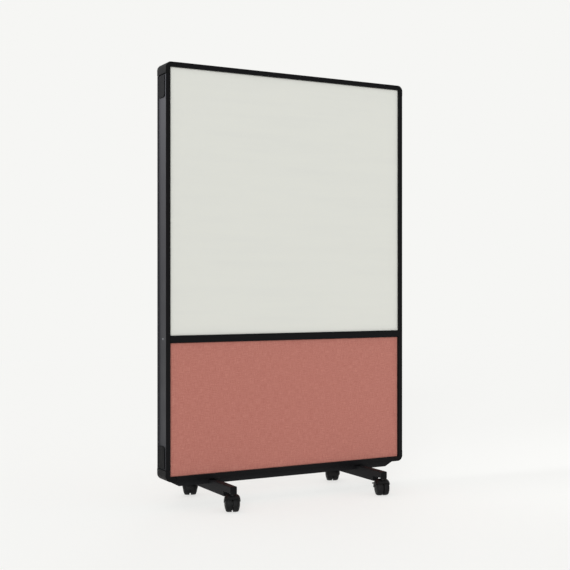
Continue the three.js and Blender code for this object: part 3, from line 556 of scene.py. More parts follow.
def mirrored(points: list[Point], axis: Axis = Axis.X) -> list[Point]:
    """Half an outline, anticlockwise, with its mirror image joined on.

    Args:
        points: the half, which starts and ends next to the line of the mirror.
        axis: the coordinate whose sign changes.

    Returns:
        The whole outline.
    """
    x_sign, y_sign = (-1, 1) if axis is Axis.X else (1, -1)
    return points + [(x * x_sign, y * y_sign) for x, y in reversed(points)]


def drum(radius: float, start: float, end: float) -> list[Point]:
    """The profile of a plain cylinder between two places on its axis."""
    return [(0, start), (radius, start), (radius, end), (0, end)]


def prism(points: Iterable[Point], length: float) -> BMesh:
    """An outline in the XY plane pulled along Z, half of it to each side.

    Args:
        points: the outline, anticlockwise.
        length: how far it is pulled.

    Returns:
        A closed bmesh with its faces pointing out.
    """
    bm = bmesh.new()
    corners = [bm.verts.new((x, y, -length / 2)) for x, y in points]
    pulled = bmesh.ops.extrude_face_region(bm, geom=[bm.faces.new(corners)])
    shift(bm, pulled["geom"], Vector((0, 0, length)))
    bmesh.ops.recalc_face_normals(bm, faces=bm.faces)
    return bm


def shift(bm: BMesh, geometry: Iterable[object], way: Vector) -> None:
    """Moves the corners among some new geometry."""
    moved = [v for v in geometry if isinstance(v, bmesh.types.BMVert)]
    bmesh.ops.translate(bm, vec=way, verts=moved)


def block(low: Vector, high: Vector) -> BMesh:
    """A box between two corners."""
    bm = bmesh.new()
    bmesh.ops.create_cube(bm, size=1.0)
    bmesh.ops.scale(bm, vec=high - low, verts=bm.verts)
    bmesh.ops.translate(bm, vec=(high + low) / 2, verts=bm.verts)
    return bm


def bevel(
    bm: BMesh, chosen: Callable[[Edge], bool], width: float, segments: int = 3
) -> None:
    """Rounds the edges that a test picks.

    Args:
        bm: the mesh.
        chosen: the test of an edge.
        width: the radius.
        segments: the number of steps.
    """
    bmesh.ops.bevel(
        bm, geom=[e for e in bm.edges if chosen(e)], offset=width, offset_type="OFFSET",
        affect="EDGES", segments=segments, profile=0.5, material=-1, clamp_overlap=True,
    )


def lies_at(edge: Edge, axis: Axis, *places: float) -> bool:
    """Whether both ends of an edge have the same one of the given coordinates."""
    index = "XYZ".index(axis.value)
    return any(
        all(abs(v.co[index] - place) < 1e-3 for v in edge.verts) for place in places
    )


def runs_along(edge: Edge, axis: Axis) -> bool:
    """Whether an edge is parallel to an axis."""
    index = "XYZ".index(axis.value)
    way = edge.verts[1].co - edge.verts[0].co
    return way.length > 1e-6 and abs(way[index]) > way.length * 0.999


def turned(
    profile: Iterable[Point], axis: Axis, steps: int = 48, about: Point = (0.0, 0.0)
) -> BMesh:
    """A profile of (radius, place) points turned about X or Z.

    Args:
        profile: the points from one end of the axis to the other.
        axis: the axis that it turns about.
        steps: the number of steps round.
        about: where the axis lies, in the other two coordinates.

    Returns:
        A closed bmesh with its faces pointing out.
    """
    if axis is Axis.X:
        along, out, centre = ACROSS, UP, Vector((0, *about))
    else:
        along, out, centre = UP, ACROSS, Vector((*about, 0))
    bm = bmesh.new()
    spots = [
        bm.verts.new(centre + along * place + out * radius) for radius, place in profile
    ]
    edges = [bm.edges.new(pair) for pair in zip(spots, spots[1:])]
    bmesh.ops.spin(
        bm, geom=spots + edges, cent=centre, axis=along, angle=math.tau, steps=steps,
        use_merge=True,
    )
    bmesh.ops.remove_doubles(bm, verts=bm.verts, dist=1e-4)
    bmesh.ops.recalc_face_normals(bm, faces=bm.faces)
    return bm


def merge(target: BMesh, *others: BMesh) -> BMesh:
    """Adds other meshes to one, and frees them."""
    for other in others:
        spare = bpy.data.meshes.new("spare")
        other.to_mesh(spare)
        other.free()
        target.from_mesh(spare)
        bpy.data.meshes.remove(spare)
    return target


def show(name: str, data: bpy.types.ID) -> bpy.types.Object:
    """Puts a mesh, lamp or camera in the scene as an object."""
    thing = bpy.data.objects.new(name, data)
    bpy.context.scene.collection.objects.link(thing)
    return thing


def to_mesh(name: str, bm: BMesh) -> bpy.types.Mesh:
    """Turns a bmesh, which it frees, into a mesh."""
    mesh = bpy.data.meshes.new(name)
    bm.to_mesh(mesh)
    bm.free()
    return mesh


def carve(body: BMesh, tool: BMesh) -> BMesh:
    """Cuts one mesh with another.

    Args:
        body: the mesh that is cut; it is freed.
        tool: the mesh that cuts it; it is freed.

    Returns:
        The new mesh.
    """
    target = show("body", to_mesh("body", body))
    cutter = show("tool", to_mesh("tool", tool))
    cutting = target.modifiers.new("carve", "BOOLEAN")
    cutting.operation = "DIFFERENCE"
    cutting.solver = "EXACT"
    cutting.use_self = True
    cutting.object = cutter
    graph = bpy.context.evaluated_depsgraph_get()
    result = bmesh.new()
    result.from_mesh(target.evaluated_get(graph).to_mesh())
    for thing in (target, cutter):
        mesh = thing.data
        bpy.data.objects.remove(thing)
        bpy.data.meshes.remove(mesh)
    bmesh.ops.remove_doubles(result, verts=result.verts, dist=1e-4)
    return result


def frame_at(origin: Vector, first: Vector, second: Vector) -> Matrix:
    """A placing matrix from an origin in millimetres and the ways of its X and Y."""
    x, y = first.normalized(), second.normalized()
    turn = Matrix((x, y, x.cross(y))).transposed().to_4x4()
    return Matrix.Translation(origin) @ turn


SIDE_ON = frame_at(Vector(), DEPTH, UP)  # stands an outline up, with its x in depth


@dataclass(frozen=True)
class Piece:
    """A finished piece: the node that it replaces, its word, its paint and its body."""

    node: str
    word: str
    paint: Paint
    body: str = "frame"
    smooth: float = 38.0  # degrees past which an edge stays sharp

    def finish(self, bm: BMesh, at: Matrix) -> bpy.types.Object:
        """Turns a mesh in millimetres into a finished object in its place.

        Args:
            bm: the mesh; it is freed.
            at: where its own frame lies in the row frame, in millimetres.

        Returns:
            The object.
        """
        name = f"{self.node}_{self.word}"
        bm.transform(Matrix.Scale(MM, 4) @ at)
        mesh = to_mesh(name, bm)
        mesh.shade_smooth()
        mesh.set_sharp_from_angle(angle=math.radians(self.smooth))
        mesh.materials.append(self.paint.material)
        if self.paint.second:
            mesh.materials.append(self.paint.second)
        thing = show(name, mesh)
        thing.modifiers.new("even_shading", "WEIGHTED_NORMAL").keep_sharp = True
        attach(thing, self.body)
        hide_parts(self.node)
        LOG.info("%s rides on %s", name, self.body)
        return thing


def dress(node: str, material: bpy.types.Material) -> None:
    """Gives a CAD node that stays its own material."""
    mesh = frame["nodes"][node].data
    mesh.materials.clear()
    mesh.materials.append(material)
    LOG.info("%s keeps its shape", node)


# ---------------------------------------------------------------- frame
@dataclass
class FrameBars:
    """The extruded stiles and rails, open outwards, and the middle rail."""

    paints: Paints
    face: float = 20.6
    channel: float = 7.0
    wall: float = 2.0
    groove_half: float = 28.4
    edge: float = 0.6
    lip_edge: float = 0.3

    def bar(self, half: float, length: float) -> BMesh:
        """One length: x inwards from the outer side, y in depth, z along it."""
        floor, front = self.channel + self.wall, half - self.wall
        lower = [
            (self.channel, -front), (0, -front), (0, -half), (self.face, -half),
            (self.face, -self.groove_half), (floor, -self.groove_half),
        ]
        bm = prism(mirrored(lower, Axis.Y), length)
        self.round_outer_edges(bm, half)
        bevel(
            bm,
            lambda e: runs_along(e, Axis.Z)
            and lies_at(e, Axis.X, 0)
            and lies_at(e, Axis.Y, front, -front), self.lip_edge, 2,
        )
        self.paint_groove_sheen(bm, front)
        return bm

    def round_outer_edges(self, bm: BMesh, half: float) -> None:
        """Rounds the long edges at a bar's front and back."""
        bevel(
            bm, lambda e: runs_along(e, Axis.Z) and lies_at(e, Axis.Y, half, -half),
            self.edge, 4,
        )

    def paint_groove_sheen(self, bm: BMesh, front: float) -> None:
        """Gives the outer channel's floor and walls the bar's second, paler material:
        painted sheen and side light on the same anodising.
        """
        near = 0.1
        for face in bm.faces:
            spot = face.calc_center_median()
            floor = abs(spot.x - self.channel) < near
            inside = self.lip_edge < spot.x < self.channel
            wall = inside and abs(abs(spot.y) - front) < near
            if abs(face.normal.z) < 0.5 and (floor or wall):
                # painted sheen: these channel faces take the paler grey copy of the
                # anodising
                face.material_index = 1

    def build(self) -> None:
        """Makes the four outer bars and the middle rail."""
        for hand in Hand:
            node = f"stile_{hand.word}"
            low, high = box_mm(node)
            outer = low.x if hand is Hand.LEFT else high.x
            origin = Vector((outer, 0, (low.z + high.z) / 2))
            at = frame_at(origin, -hand.value * ACROSS, -hand.value * DEPTH)
            bm = self.bar(high.y, high.z - low.z)
            Piece(node, "bar", self.paints.upright).finish(bm, at)
        for node, inward in (("top_rail", -UP), ("bottom_rail", UP)):
            low, high = box_mm(node)
            outer = high.z if node == "top_rail" else low.z
            at = frame_at(Vector((0, 0, outer)), inward, DEPTH)
            bm = self.bar(high.y, high.x - low.x)
            Piece(node, "bar", self.paints.level).finish(bm, at)
        self.build_middle()

    def build_middle(self) -> None:
        """Makes the middle rail: a face at front and back joined by a web."""
        low, high = box_mm("mid_rail")
        half, tall, web = high.y, (high.z - low.z) / 2, self.wall / 2
        groove = self.groove_half
        right = [
            (tall, -half), (tall, -groove), (web, -groove), (web, groove),
            (tall, groove), (tall, half),
        ]
        bm = prism(mirrored(right), high.x - low.x)
        self.round_outer_edges(bm, half)
        at = frame_at(Vector((0, 0, (low.z + high.z) / 2)), UP, DEPTH)
        Piece("mid_rail", "bar", self.paints.middle).finish(bm, at)


@dataclass
class CornerCaps:
    """The moulded corners and the strips that lie in the side channels beside them."""

    paints: Paints
    leg: float = 48.0
    face: float = 20.6
    rim: float = 9.0
    outer_radius: float = 26.0
    inner_radius: float = 4.0
    groove_half: float = 28.4
    edge: float = 1.5
    insert_radius: float = 13.0
    insert_near_radius: float = 2.0
    insert_back: float = 44.0
    insert_edge: float = 0.9

    def corner(self, proud: Point, half: float) -> BMesh:
        """One cap with the bars' outer corner at the origin and its legs along X and Y.

        Args:
            proud: how far its outer faces stand past the bars, in X and in Y.
            half: half its depth.

        Returns:
            The cap, with its depth along Z.
        """
        inner = self.face + self.inner_radius
        radius = self.outer_radius
        past_x, past_y = proud
        outline = [
            (self.leg, -past_y), (self.leg, self.face),
            *arc((inner, inner), self.inner_radius, 270, 180, 6), (self.face, self.leg),
            (-past_x, self.leg),
            *arc((radius - past_x, radius - past_y), radius, 180, 270, 20),
        ]
        bm = prism(outline, 2 * half)
        bevel(bm, lambda e: lies_at(e, Axis.Z, half, -half), self.edge, 4)
        far = 2 * self.leg
        hollow = [
            (far, self.rim), (far, far), (self.rim, far),
            *arc((radius, radius), radius - self.rim, 180, 270, 12),
        ]
        return carve(bm, prism(hollow, 2 * self.groove_half))

    def build(self) -> None:
        """Makes the four caps and the four channel strips."""
        width = -box_mm("stile_left")[0].x
        bottom, top = box_mm("bottom_rail")[0].z, box_mm("top_rail")[1].z
        for hand in Hand:
            for name, height, up in (("bottom", bottom, 1), ("top", top, -1)):
                self.build_cap(hand, name, Vector((hand.value * width, 0, height)), up)
                self.build_insert(hand, name, up)

    def build_cap(self, hand: Hand, name: str, corner: Vector, up: int) -> None:
        """Makes one cap.

        Args:
            hand: the end of the partition.
            name: top or bottom.
            corner: the bars' outer corner.
            up: the way from the corner into the frame.
        """
        node = f"corner_cap_{name}_{hand.word}"
        low, high = box_mm(node)
        past = (high.x if hand is Hand.RIGHT else -low.x) - abs(corner.x)
        level, upright = -hand.value * ACROSS, up * UP
        if up * hand.value > 0:
            first, second, proud = level, upright, (past, 0.0)
        else:
            first, second, proud = upright, level, (0.0, past)
        bm = self.corner(proud, high.y)
        at = frame_at(corner, first, second)
        Piece(node, "moulding", self.paints.cap).finish(bm, at)

    def build_insert(self, hand: Hand, name: str, up: int) -> None:
        """Makes one channel strip, round at its far end.

        Args:
            hand: the end of the partition.
            name: top or bottom.
            up: the way from the nearest corner into the frame.
        """
        node = f"channel_insert_{name}_{hand.word}"
        low, high = box_mm(node)
        high.y = self.insert_back
        near, far = self.insert_near_radius, self.insert_radius
        size = high - low
        corner = (size.y / 2, size.z / 2)
        outline = rounded_rectangle(
            (-corner[0], -corner[1]), corner, (near, near, far, far)
        )
        bm = prism(outline, size.x)
        bevel(bm, lambda e: lies_at(e, Axis.Z, size.x / 2), self.insert_edge, 3)
        along = up * UP
        at = frame_at((low + high) / 2, along.cross(hand.value * ACROSS), along)
        Piece(node, "strip", self.paints.insert).finish(bm, at)


# ---------------------------------------------------------------- boards
@dataclass
class Boards:
    """The enamelled writing boards and the cloth pin boards on both sides."""

    paints: Paints
    sheet: float = 1.2
    fold: float = 0.6
    corner: float = 3.9
    roll: float = 3.2
    crown: float = 0.9
    crown_reach: float = 34.0
    grid: int = 72

    def place(self, side: Side, low: Vector, high: Vector) -> Matrix:
        """The frame of a board: X along the board, Y up and Z out of its face."""
        face = high.y if side is Side.BACK else low.y
        origin = Vector((0, face, (low.z + high.z) / 2))
        return frame_at(origin, -side.value * ACROSS, UP)

    def build(self) -> None:
        """Makes the four boards and dresses the cores between them."""
        for side in Side:
            self.build_whiteboard(side)
            self.build_pinboard(side)
        for core in ("upper_core", "lower_core"):
            dress(core, self.paints.core)

    def build_whiteboard(self, side: Side) -> None:
        """Makes one folded steel tray, open at its back."""
        node = f"whiteboard_{side.name.lower()}"
        low, high = box_mm(node)
        wide, deep, tall = high - low
        outline = rounded_rectangle(
            (-wide / 2, -tall / 2), (wide / 2, tall / 2),
            (0, 0, self.corner, self.corner), 5,
        )
        bm = prism(outline, deep)
        shift(bm, bm.verts, Vector((0, 0, -deep / 2)))
        back = [f for f in bm.faces if f.normal.z < -0.5]
        bmesh.ops.delete(bm, geom=back, context="FACES_ONLY")
        bevel(bm, lambda e: lies_at(e, Axis.Z, 0), self.fold, 5)
        bmesh.ops.recalc_face_normals(bm, faces=bm.faces)
        bmesh.ops.solidify(bm, geom=list(bm.faces), thickness=self.sheet)
        Piece(node, "tray", self.paints.enamel).finish(bm, self.place(side, low, high))

    def build_pinboard(self, side: Side) -> None:
        """Makes one cloth-covered board: taut, slightly crowned, with rolled edges."""
        node = f"fabric_board_{side.name.lower()}"
        low, high = box_mm(node)
        wide, deep, tall = high - low
        bm = bmesh.new()
        grid = self.grid
        bmesh.ops.create_grid(bm, x_segments=2 * grid, y_segments=grid, size=0.5)
        bmesh.ops.scale(bm, vec=(wide, tall, 1), verts=bm.verts)
        rim = [e for e in bm.edges if e.is_boundary]
        pulled = bmesh.ops.extrude_edge_only(bm, edges=rim)
        shift(bm, pulled["geom"], Vector((0, 0, -deep)))
        bevel(
            bm,
            lambda e: lies_at(e, Axis.Z, 0)
            and any(abs(f.normal.z) < 0.5 for f in e.link_faces), self.roll, 5,
        )
        bmesh.ops.holes_fill(bm, edges=[e for e in bm.edges if e.is_boundary], sides=0)
        for vert in bm.verts:
            inset = min(wide / 2 - abs(vert.co.x), tall / 2 - abs(vert.co.y))
            if vert.co.z > -self.roll:
                share = min(1.0, max(0.0, inset / self.crown_reach))
                rise = share * share * (3 - 2 * share)
                vert.co.z -= self.crown * (1 - rise)
        bmesh.ops.recalc_face_normals(bm, faces=bm.faces)
        piece = Piece(node, "cloth", self.paints.cloth)
        piece.finish(bm, self.place(side, low, high))


# ---------------------------------------------------------------- base
@dataclass
class Base:
    """The beam under the frame, the two feet and what bolts them on."""

    paints: Paints
    beam_sheet: float = 2.0
    beam_bend: float = 2.4
    beam_end: float = 1054.0
    tube_wall: float = 2.0
    tube_edge: float = 3.0
    arch_length: float = 69.7
    arch_rise: float = 22.5
    cap_lap: float = 3.5
    cap_plate: float = 2.5
    cap_edge: float = 1.0
    cap_corner: float = 1.2
    bolt_spacing: float = 17.0
    bolt_head: float = 6.5
    bolt_head_height: float = 8.0
    bolt_shank: float = 4.0
    socket_radius: float = 3.5
    socket_depth: float = 4.0
    access_radius: float = 8.0
    slot_gap: float = 0.4
    fit_gap: float = 0.3

    def build(self) -> None:
        """Makes the beam, feet, end caps and their fastenings."""
        self.build_beam()
        for hand in Hand:
            self.build_foot(hand)
            for side in Side:
                self.build_end_cap(hand, side)
                self.build_bolt(hand, side)
            for name in ("foot_bracket", "nut_plate"):
                dress(f"{name}_{hand.word}", self.paints.zinc.material)

    def build_beam(self) -> None:
        """Makes the pressed beam: open below, sloped at its ends and slotted."""
        low, high = box_mm("base_beam")
        rail_low, rail_high = box_mm("bottom_rail")
        shoulder, roof_end = rail_low.z - self.fit_gap, rail_high.x - self.fit_gap
        foot, lip, half = self.beam_end / 2, high.x, high.y
        right = [
            (foot, low.z), (lip, shoulder), (roof_end, shoulder), (roof_end, high.z),
        ]
        bm = prism(mirrored(right), 2 * half)
        bevel(
            bm,
            lambda e: lies_at(e, Axis.Z, half, -half) and not lies_at(e, Axis.Y, low.z),
            self.beam_bend, 4,
        )
        wall, under = self.beam_sheet, 20.0
        slope = (lip - foot) / (shoulder - low.z)
        run = wall * math.hypot(1, slope)
        inside = [
            (foot - run - under * slope, low.z - under),
            (lip - run - wall * slope, shoulder - wall),
            (roof_end - wall, shoulder - wall), (roof_end - wall, high.z - wall),
        ]
        bm = carve(bm, prism(mirrored(inside), 2 * (half - wall)))
        for hand in Hand:
            tube_low, tube_high = box_mm(f"foot_{hand.word}")
            gap, roof = self.slot_gap, tube_high.z + self.fit_gap
            slot = block(
                Vector((tube_low.x - gap, low.z - under, -2 * half)),
                Vector((tube_high.x + gap, roof, 2 * half)),
            )
            bm = carve(bm, slot)
        at = frame_at(Vector(), ACROSS, UP)
        Piece("base_beam", "pressing", self.paints.steel).finish(bm, at)

    def build_foot(self, hand: Hand) -> None:
        """Makes one foot: a tube that is cut away below over each caster."""
        node = f"foot_{hand.word}"
        low, high = box_mm(node)
        cap_low, _ = box_mm(f"foot_end_cap_front_{hand.word}")
        half, wall = (high.x - low.x) / 2, self.tube_wall
        arch, end = -cap_low.y - self.arch_length, high.y
        roof = low.z + self.arch_rise
        right = [(arch, low.z), (arch, roof), (end, roof), (end, high.z)]
        bm = prism(mirrored(right), 2 * half)
        bevel(
            bm,
            lambda e: lies_at(e, Axis.Z, half, -half)
            and lies_at(e, Axis.Y, high.z, low.z), self.tube_edge, 4,
        )
        inside = [
            (arch - wall, low.z + wall), (arch - wall, roof + wall),
            (end + wall, roof + wall), (end + wall, high.z - wall),
        ]
        bm = carve(bm, prism(mirrored(inside), 2 * (half - wall)))
        for side in Side:
            hole = turned(drum(self.access_radius, -2 * wall, 2 * wall), Axis.Z, 32)
            spot = Matrix.Translation((side.value * self.bolt_spacing / 2, low.z, 0))
            hole.transform(spot @ Matrix.Rotation(math.pi / 2, 4, "X"))
            bm = carve(bm, hole)
        at = Matrix.Translation(((low.x + high.x) / 2, 0, 0)) @ SIDE_ON
        Piece(node, "tube", self.paints.steel).finish(bm, at)

    def build_end_cap(self, hand: Hand, side: Side) -> None:
        """Makes the moulded plate that closes one end of a foot."""
        node = f"foot_end_cap_{side.foot_end}_{hand.word}"
        low, high = box_mm(node)
        half, plate = (high.x - low.x) / 2, self.cap_plate
        radii = (self.cap_corner, self.cap_corner, self.tube_edge, self.tube_edge)
        corner = (-half, low.z - self.cap_lap)
        outline = rounded_rectangle(corner, (half, high.z), radii)
        bm = prism(outline, plate)
        bevel(bm, lambda e: lies_at(e, Axis.Z, plate / 2), self.cap_edge, 4)
        face = low.y if side is Side.FRONT else high.y
        origin = Vector(((low.x + high.x) / 2, face - side.value * plate / 2, 0))
        at = frame_at(origin, -side.value * ACROSS, UP)
        Piece(node, "plug", self.paints.cap).finish(bm, at)

    def build_bolt(self, hand: Hand, side: Side) -> None:
        """Makes one socket-head bolt that is reached through the foot's underside."""
        node = f"foot_bolt_{side.foot_end}_{hand.word}"
        low, high = box_mm(node)
        head, shank, tall = self.bolt_head, self.bolt_shank, self.bolt_head_height
        length = high.z - low.z
        profile = [
            (0, 0), (head - 0.8, 0), (head - 0.2, 0.25), (head, 0.8),
            (head, tall - 0.3),
            (head - 0.3, tall), (shank, tall), (shank, length - 0.8),
            (shank - 0.8, length), (0, length),
        ]
        socket = turned(drum(self.socket_radius, -1, self.socket_depth), Axis.Z, 6)
        bm = carve(turned(profile, Axis.Z, 32), socket)
        middle = (low + high) / 2
        at = Matrix.Translation((middle.x, middle.y, low.z))
        Piece(node, "screw", self.paints.zinc).finish(bm, at)


@dataclass
class PanScrews:
    """The small cross-head screws in the beam and in the side channels."""

    paints: Paints
    shank: float = 2.0
    head: float = 4.5
    head_height: float = 2.6
    cross_length: float = 4.4
    cross_width: float = 0.9
    cross_depth: float = 1.3

    def build(self) -> None:
        """Makes the two screws of the beam and the two of the middle rail."""
        for hand in Hand:
            self.build_screw(f"beam_screw_{hand.word}", UP)
            self.build_screw(f"mid_rail_screw_{hand.word}", -hand.value * ACROSS)

    def build_screw(self, node: str, way: Vector) -> None:
        """Makes one screw.

        Args:
            node: the CAD node that it stands for.
            way: the direction of its tip.
        """
        low, high = box_mm(node)
        length = abs((high - low).dot(way))
        start = (low + high) / 2 - way * (length / 2)
        head, shank, tall = self.head, self.shank, self.head_height
        dome = [
            (head * math.cos(a), tall - 0.4 - (tall - 0.7) * math.sin(a))
            for a in (1.05, 0.7, 0.35, 0.0)
        ]
        profile = [
            (0, 0), (head * 0.45, 0.1), *dome, (head, tall), (shank, tall),
            (shank, length - shank), (0, length),
        ]
        bm = turned(profile, Axis.Z, 24)
        long, thin = self.cross_length, self.cross_width
        for wide, deep in ((long, thin), (thin, long)):
            corner = Vector((wide / 2, deep / 2, self.cross_depth))
            bm = carve(bm, block(Vector((-corner.x, -corner.y, -1)), corner))
        at = frame_at(start, DEPTH.cross(way), DEPTH)
        Piece(node, "pan", self.paints.zinc).finish(bm, at)


# ---------------------------------------------------------------- casters
@dataclass
class Caster:
    """One twin-wheel caster, drawn about its axle: X along it, Y trailing, Z up."""

    paints: Paints
    name: str
    braked: bool
    radius: float = 35.0
    wheel_gap: float = 6.0
    half_span: float = 33.0
    crown_radius: float = 74.0
    tread_width: float = 11.0
    tread_height: float = 4.5
    wheel_bore: float = 4.4
    bore_end: float = 29.3
    boss_radius: float = 9.0
    hollow_depth: float = 6.0
    button_radius: float = 8.0
    hood_radius: float = 40.0
    hood_half_width: float = 35.0
    hood_wall: float = 2.2
    squareness: float = 3.5
    rear_drop: float = 8.0
    front_rise: float = 26.0
    web: float = 5.4
    hub_radius: float = 28.0
    neck_radius: float = 10.0
    neck_flare: float = 5.0
    neck_bore: float = 5.2
    stem_pin: float = 4.5
    stem_collar: float = 9.5
    stem_shank: float = 5.0
    pin_length: float = 7.0
    collar_height: float = 3.0
    pivot_reach: float = 41.5
    pivot_rise: float = 12.0
    barrel_radius: float = 3.5
    barrel_half: float = 19.6
    stud_radius: float = 2.0
    lug_radius: float = 4.5
    lug_thickness: float = 4.0
    pedal_reach: float = 53.5
    pedal_half_width: float = 31.0
    pedal_thickness: float = 4.6
    rib_spacing: float = 2.1
    nose_inner: float = 7.0
    nose_outer: float = 15.5
    pedal_travel: float = 24.0
    nose_thickness: float = 4.4
    play: float = 0.3

    def __post_init__(self) -> None:
        """Reads the caster's places from the frame's joints."""
        joints = {joint["name"]: joint for joint in frame["joints"]}
        roll = joints[f"roll_a_{self.name}"]
        self.axle = Vector(roll["pos_m"]) / MM
        self.stem = Vector(joints[f"swivel_{self.name}"]["pos_m"]) / MM
        across = Vector(roll["axis"])
        self.at = frame_at(self.axle, across, UP.cross(across))
        self.trail = (self.stem - self.axle).to_2d().length

    def build(self) -> None:
        """Makes the stem, hood, wheels, axle and, where there is one, the pedal."""
        self.build_stem()
        self.build_hood()
        for letter, turn in (("a", 0.0), ("b", math.pi)):
            self.build_wheel(letter, turn)
        dress(f"caster_axle_{self.name}", self.paints.zinc.material)
        if self.braked:
            self.build_pedal()

    def build_stem(self) -> None:
        """Makes the plated stem with its collar and swivel pin."""
        node = f"caster_stem_{self.name}"
        low, high = box_mm(node)
        pin, collar, shank = self.stem_pin, self.stem_collar, self.stem_shank
        under = low.z + self.pin_length
        top = under + self.collar_height
        profile = [
            (0, low.z), (pin, low.z), (pin, under), (collar - 0.6, under),
            (collar, under + 0.5), (collar, top - 0.7), (collar - 0.8, top),
            (shank, top), (shank, high.z - 1), (shank - 1, high.z), (0, high.z),
        ]
        at = Matrix.Translation((self.stem.x, self.stem.y, 0))
        Piece(node, "pin", self.paints.zinc).finish(turned(profile, Axis.Z, 40), at)

    def hood_profile(self, steps: int = 14) -> list[Point]:
        """A superellipse from one end of the axle over the top to the other."""
        power = 2 / self.squareness
        quarter = []
        for i in range(steps + 1):
            angle = math.pi / 2 * i / steps
            across = self.hood_half_width * max(0.0, math.cos(angle)) ** power
            quarter.append((self.hood_radius * math.sin(angle) ** power, across))
        return [(r, -x) for r, x in quarter[:-1]] + quarter[::-1]

    def tilted_cut(self, bm: BMesh) -> None:
        """Takes away what lies under the hood's tilted rim."""
        rise = self.front_rise + self.rear_drop
        bmesh.ops.bisect_plane(
            bm, geom=list(bm.verts) + list(bm.edges) + list(bm.faces), dist=1e-4,
            plane_co=(0, 0, (self.front_rise - self.rear_drop) / 2),
            plane_no=Vector((0, rise, 2 * self.hood_radius)).normalized(),
            clear_inner=True,
        )

    def build_hood(self) -> None:
        """Makes the swivel hood with its web, neck and, on a braked one, its lugs."""
        shell = turned(self.hood_profile(), Axis.X, 72)
        self.tilted_cut(shell)
        bmesh.ops.solidify(shell, geom=list(shell.faces), thickness=self.hood_wall)
        bmesh.ops.recalc_face_normals(shell, faces=shell.faces)
        if self.braked:
            shell = self.cut_pockets(shell)
        half = self.web / 2
        inside = self.hood_radius - self.hood_wall / 2
        web = turned(drum(inside, -half, half), Axis.X, 72)
        self.tilted_cut(web)
        rims = [e for e in web.edges if e.is_boundary]
        bmesh.ops.holes_fill(web, edges=rims, sides=0)
        hub, soft = self.hub_radius, 0.8
        rim = [
            (0, -half), (hub - soft, -half), (hub, soft - half), (hub, half - soft),
            (hub - soft, half), (0, half),
        ]
        parts = [web, turned(rim, Axis.X, 48), self.neck()]
        if self.braked:
            parts += self.lugs()
        node = f"caster_hood_{self.name}"
        piece = Piece(node, "shell", self.paints.nylon, f"caster_{self.name}", 32.0)
        piece.finish(merge(shell, *parts), self.at)

    def neck(self) -> BMesh:
        """The flared tube that stands on the hood round the stem's pin."""
        top = box_mm(f"caster_hood_{self.name}")[1].z - self.axle.z
        root, foot, depth = 20.0, top - 6.5, 4.0
        radius, flare, bore = self.neck_radius, self.neck_flare, self.neck_bore
        curve = [
            (radius + flare * (1 - math.sin(a)), foot - flare * math.cos(a))
            for a in (0.3, 0.65, 1.0, 1.3, math.pi / 2)
        ]
        profile = [
            (0, root), (radius + flare, root), (radius + flare, foot - flare), *curve,
            (radius, top - 0.8), (radius - 0.8, top), (bore, top), (bore, top - depth),
            (0, top - depth),
        ]
        return turned(profile, Axis.Z, 48, (0, -self.trail))

    def cut_pockets(self, shell: BMesh) -> BMesh:
        """Cuts the hood's wall free round the pedal's barrel and brake noses."""
        spot = (self.pivot_reach, self.pivot_rise)
        gap, side = 2 * self.play, 1.0
        inner, outer = self.nose_inner - side, self.nose_outer + side
        reach, end = self.nose_reach() + gap, self.barrel_half + self.play
        for radius, low, high in (
            (self.barrel_radius + gap, -end, end), (reach, inner, outer),
            (reach, -outer, -inner),
        ):
            shell = carve(shell, turned(drum(radius, low, high), Axis.X, 32, spot))
        return shell

    def lugs(self) -> list[BMesh]:
        """The two bored ears behind the hood that hold the pedal's studs."""
        start = self.barrel_half + self.play
        tilt = math.atan2(self.pivot_rise, self.pivot_reach)
        radius, root = self.lug_radius, self.lug_radius + 3.5
        outline = [(-root, -radius), *arc((0, 0), radius, -90, 90, 12), (-root, radius)]
        made = []
        for hand in Hand:
            ear = prism(outline, self.lug_thickness)
            bevel(ear, lambda e: not runs_along(e, Axis.Z), 0.6, 2)
            bore = drum(self.stud_radius + self.play, -5, 5)
            ear = carve(ear, turned(bore, Axis.Z, 32))
            middle = hand.value * (start + self.lug_thickness / 2)
            spot = Matrix.Translation((middle, self.pivot_reach, self.pivot_rise))
            ear.transform(spot @ Matrix.Rotation(tilt, 4, "X") @ SIDE_ON)
            made.append(ear)
        return made

    def wheel_face(self, radius: float) -> float:
        """How far a wheel's domed face reaches from the caster's middle at a radius."""
        sag = self.crown_radius - math.sqrt(self.crown_radius**2 - radius**2)
        return self.half_span - sag

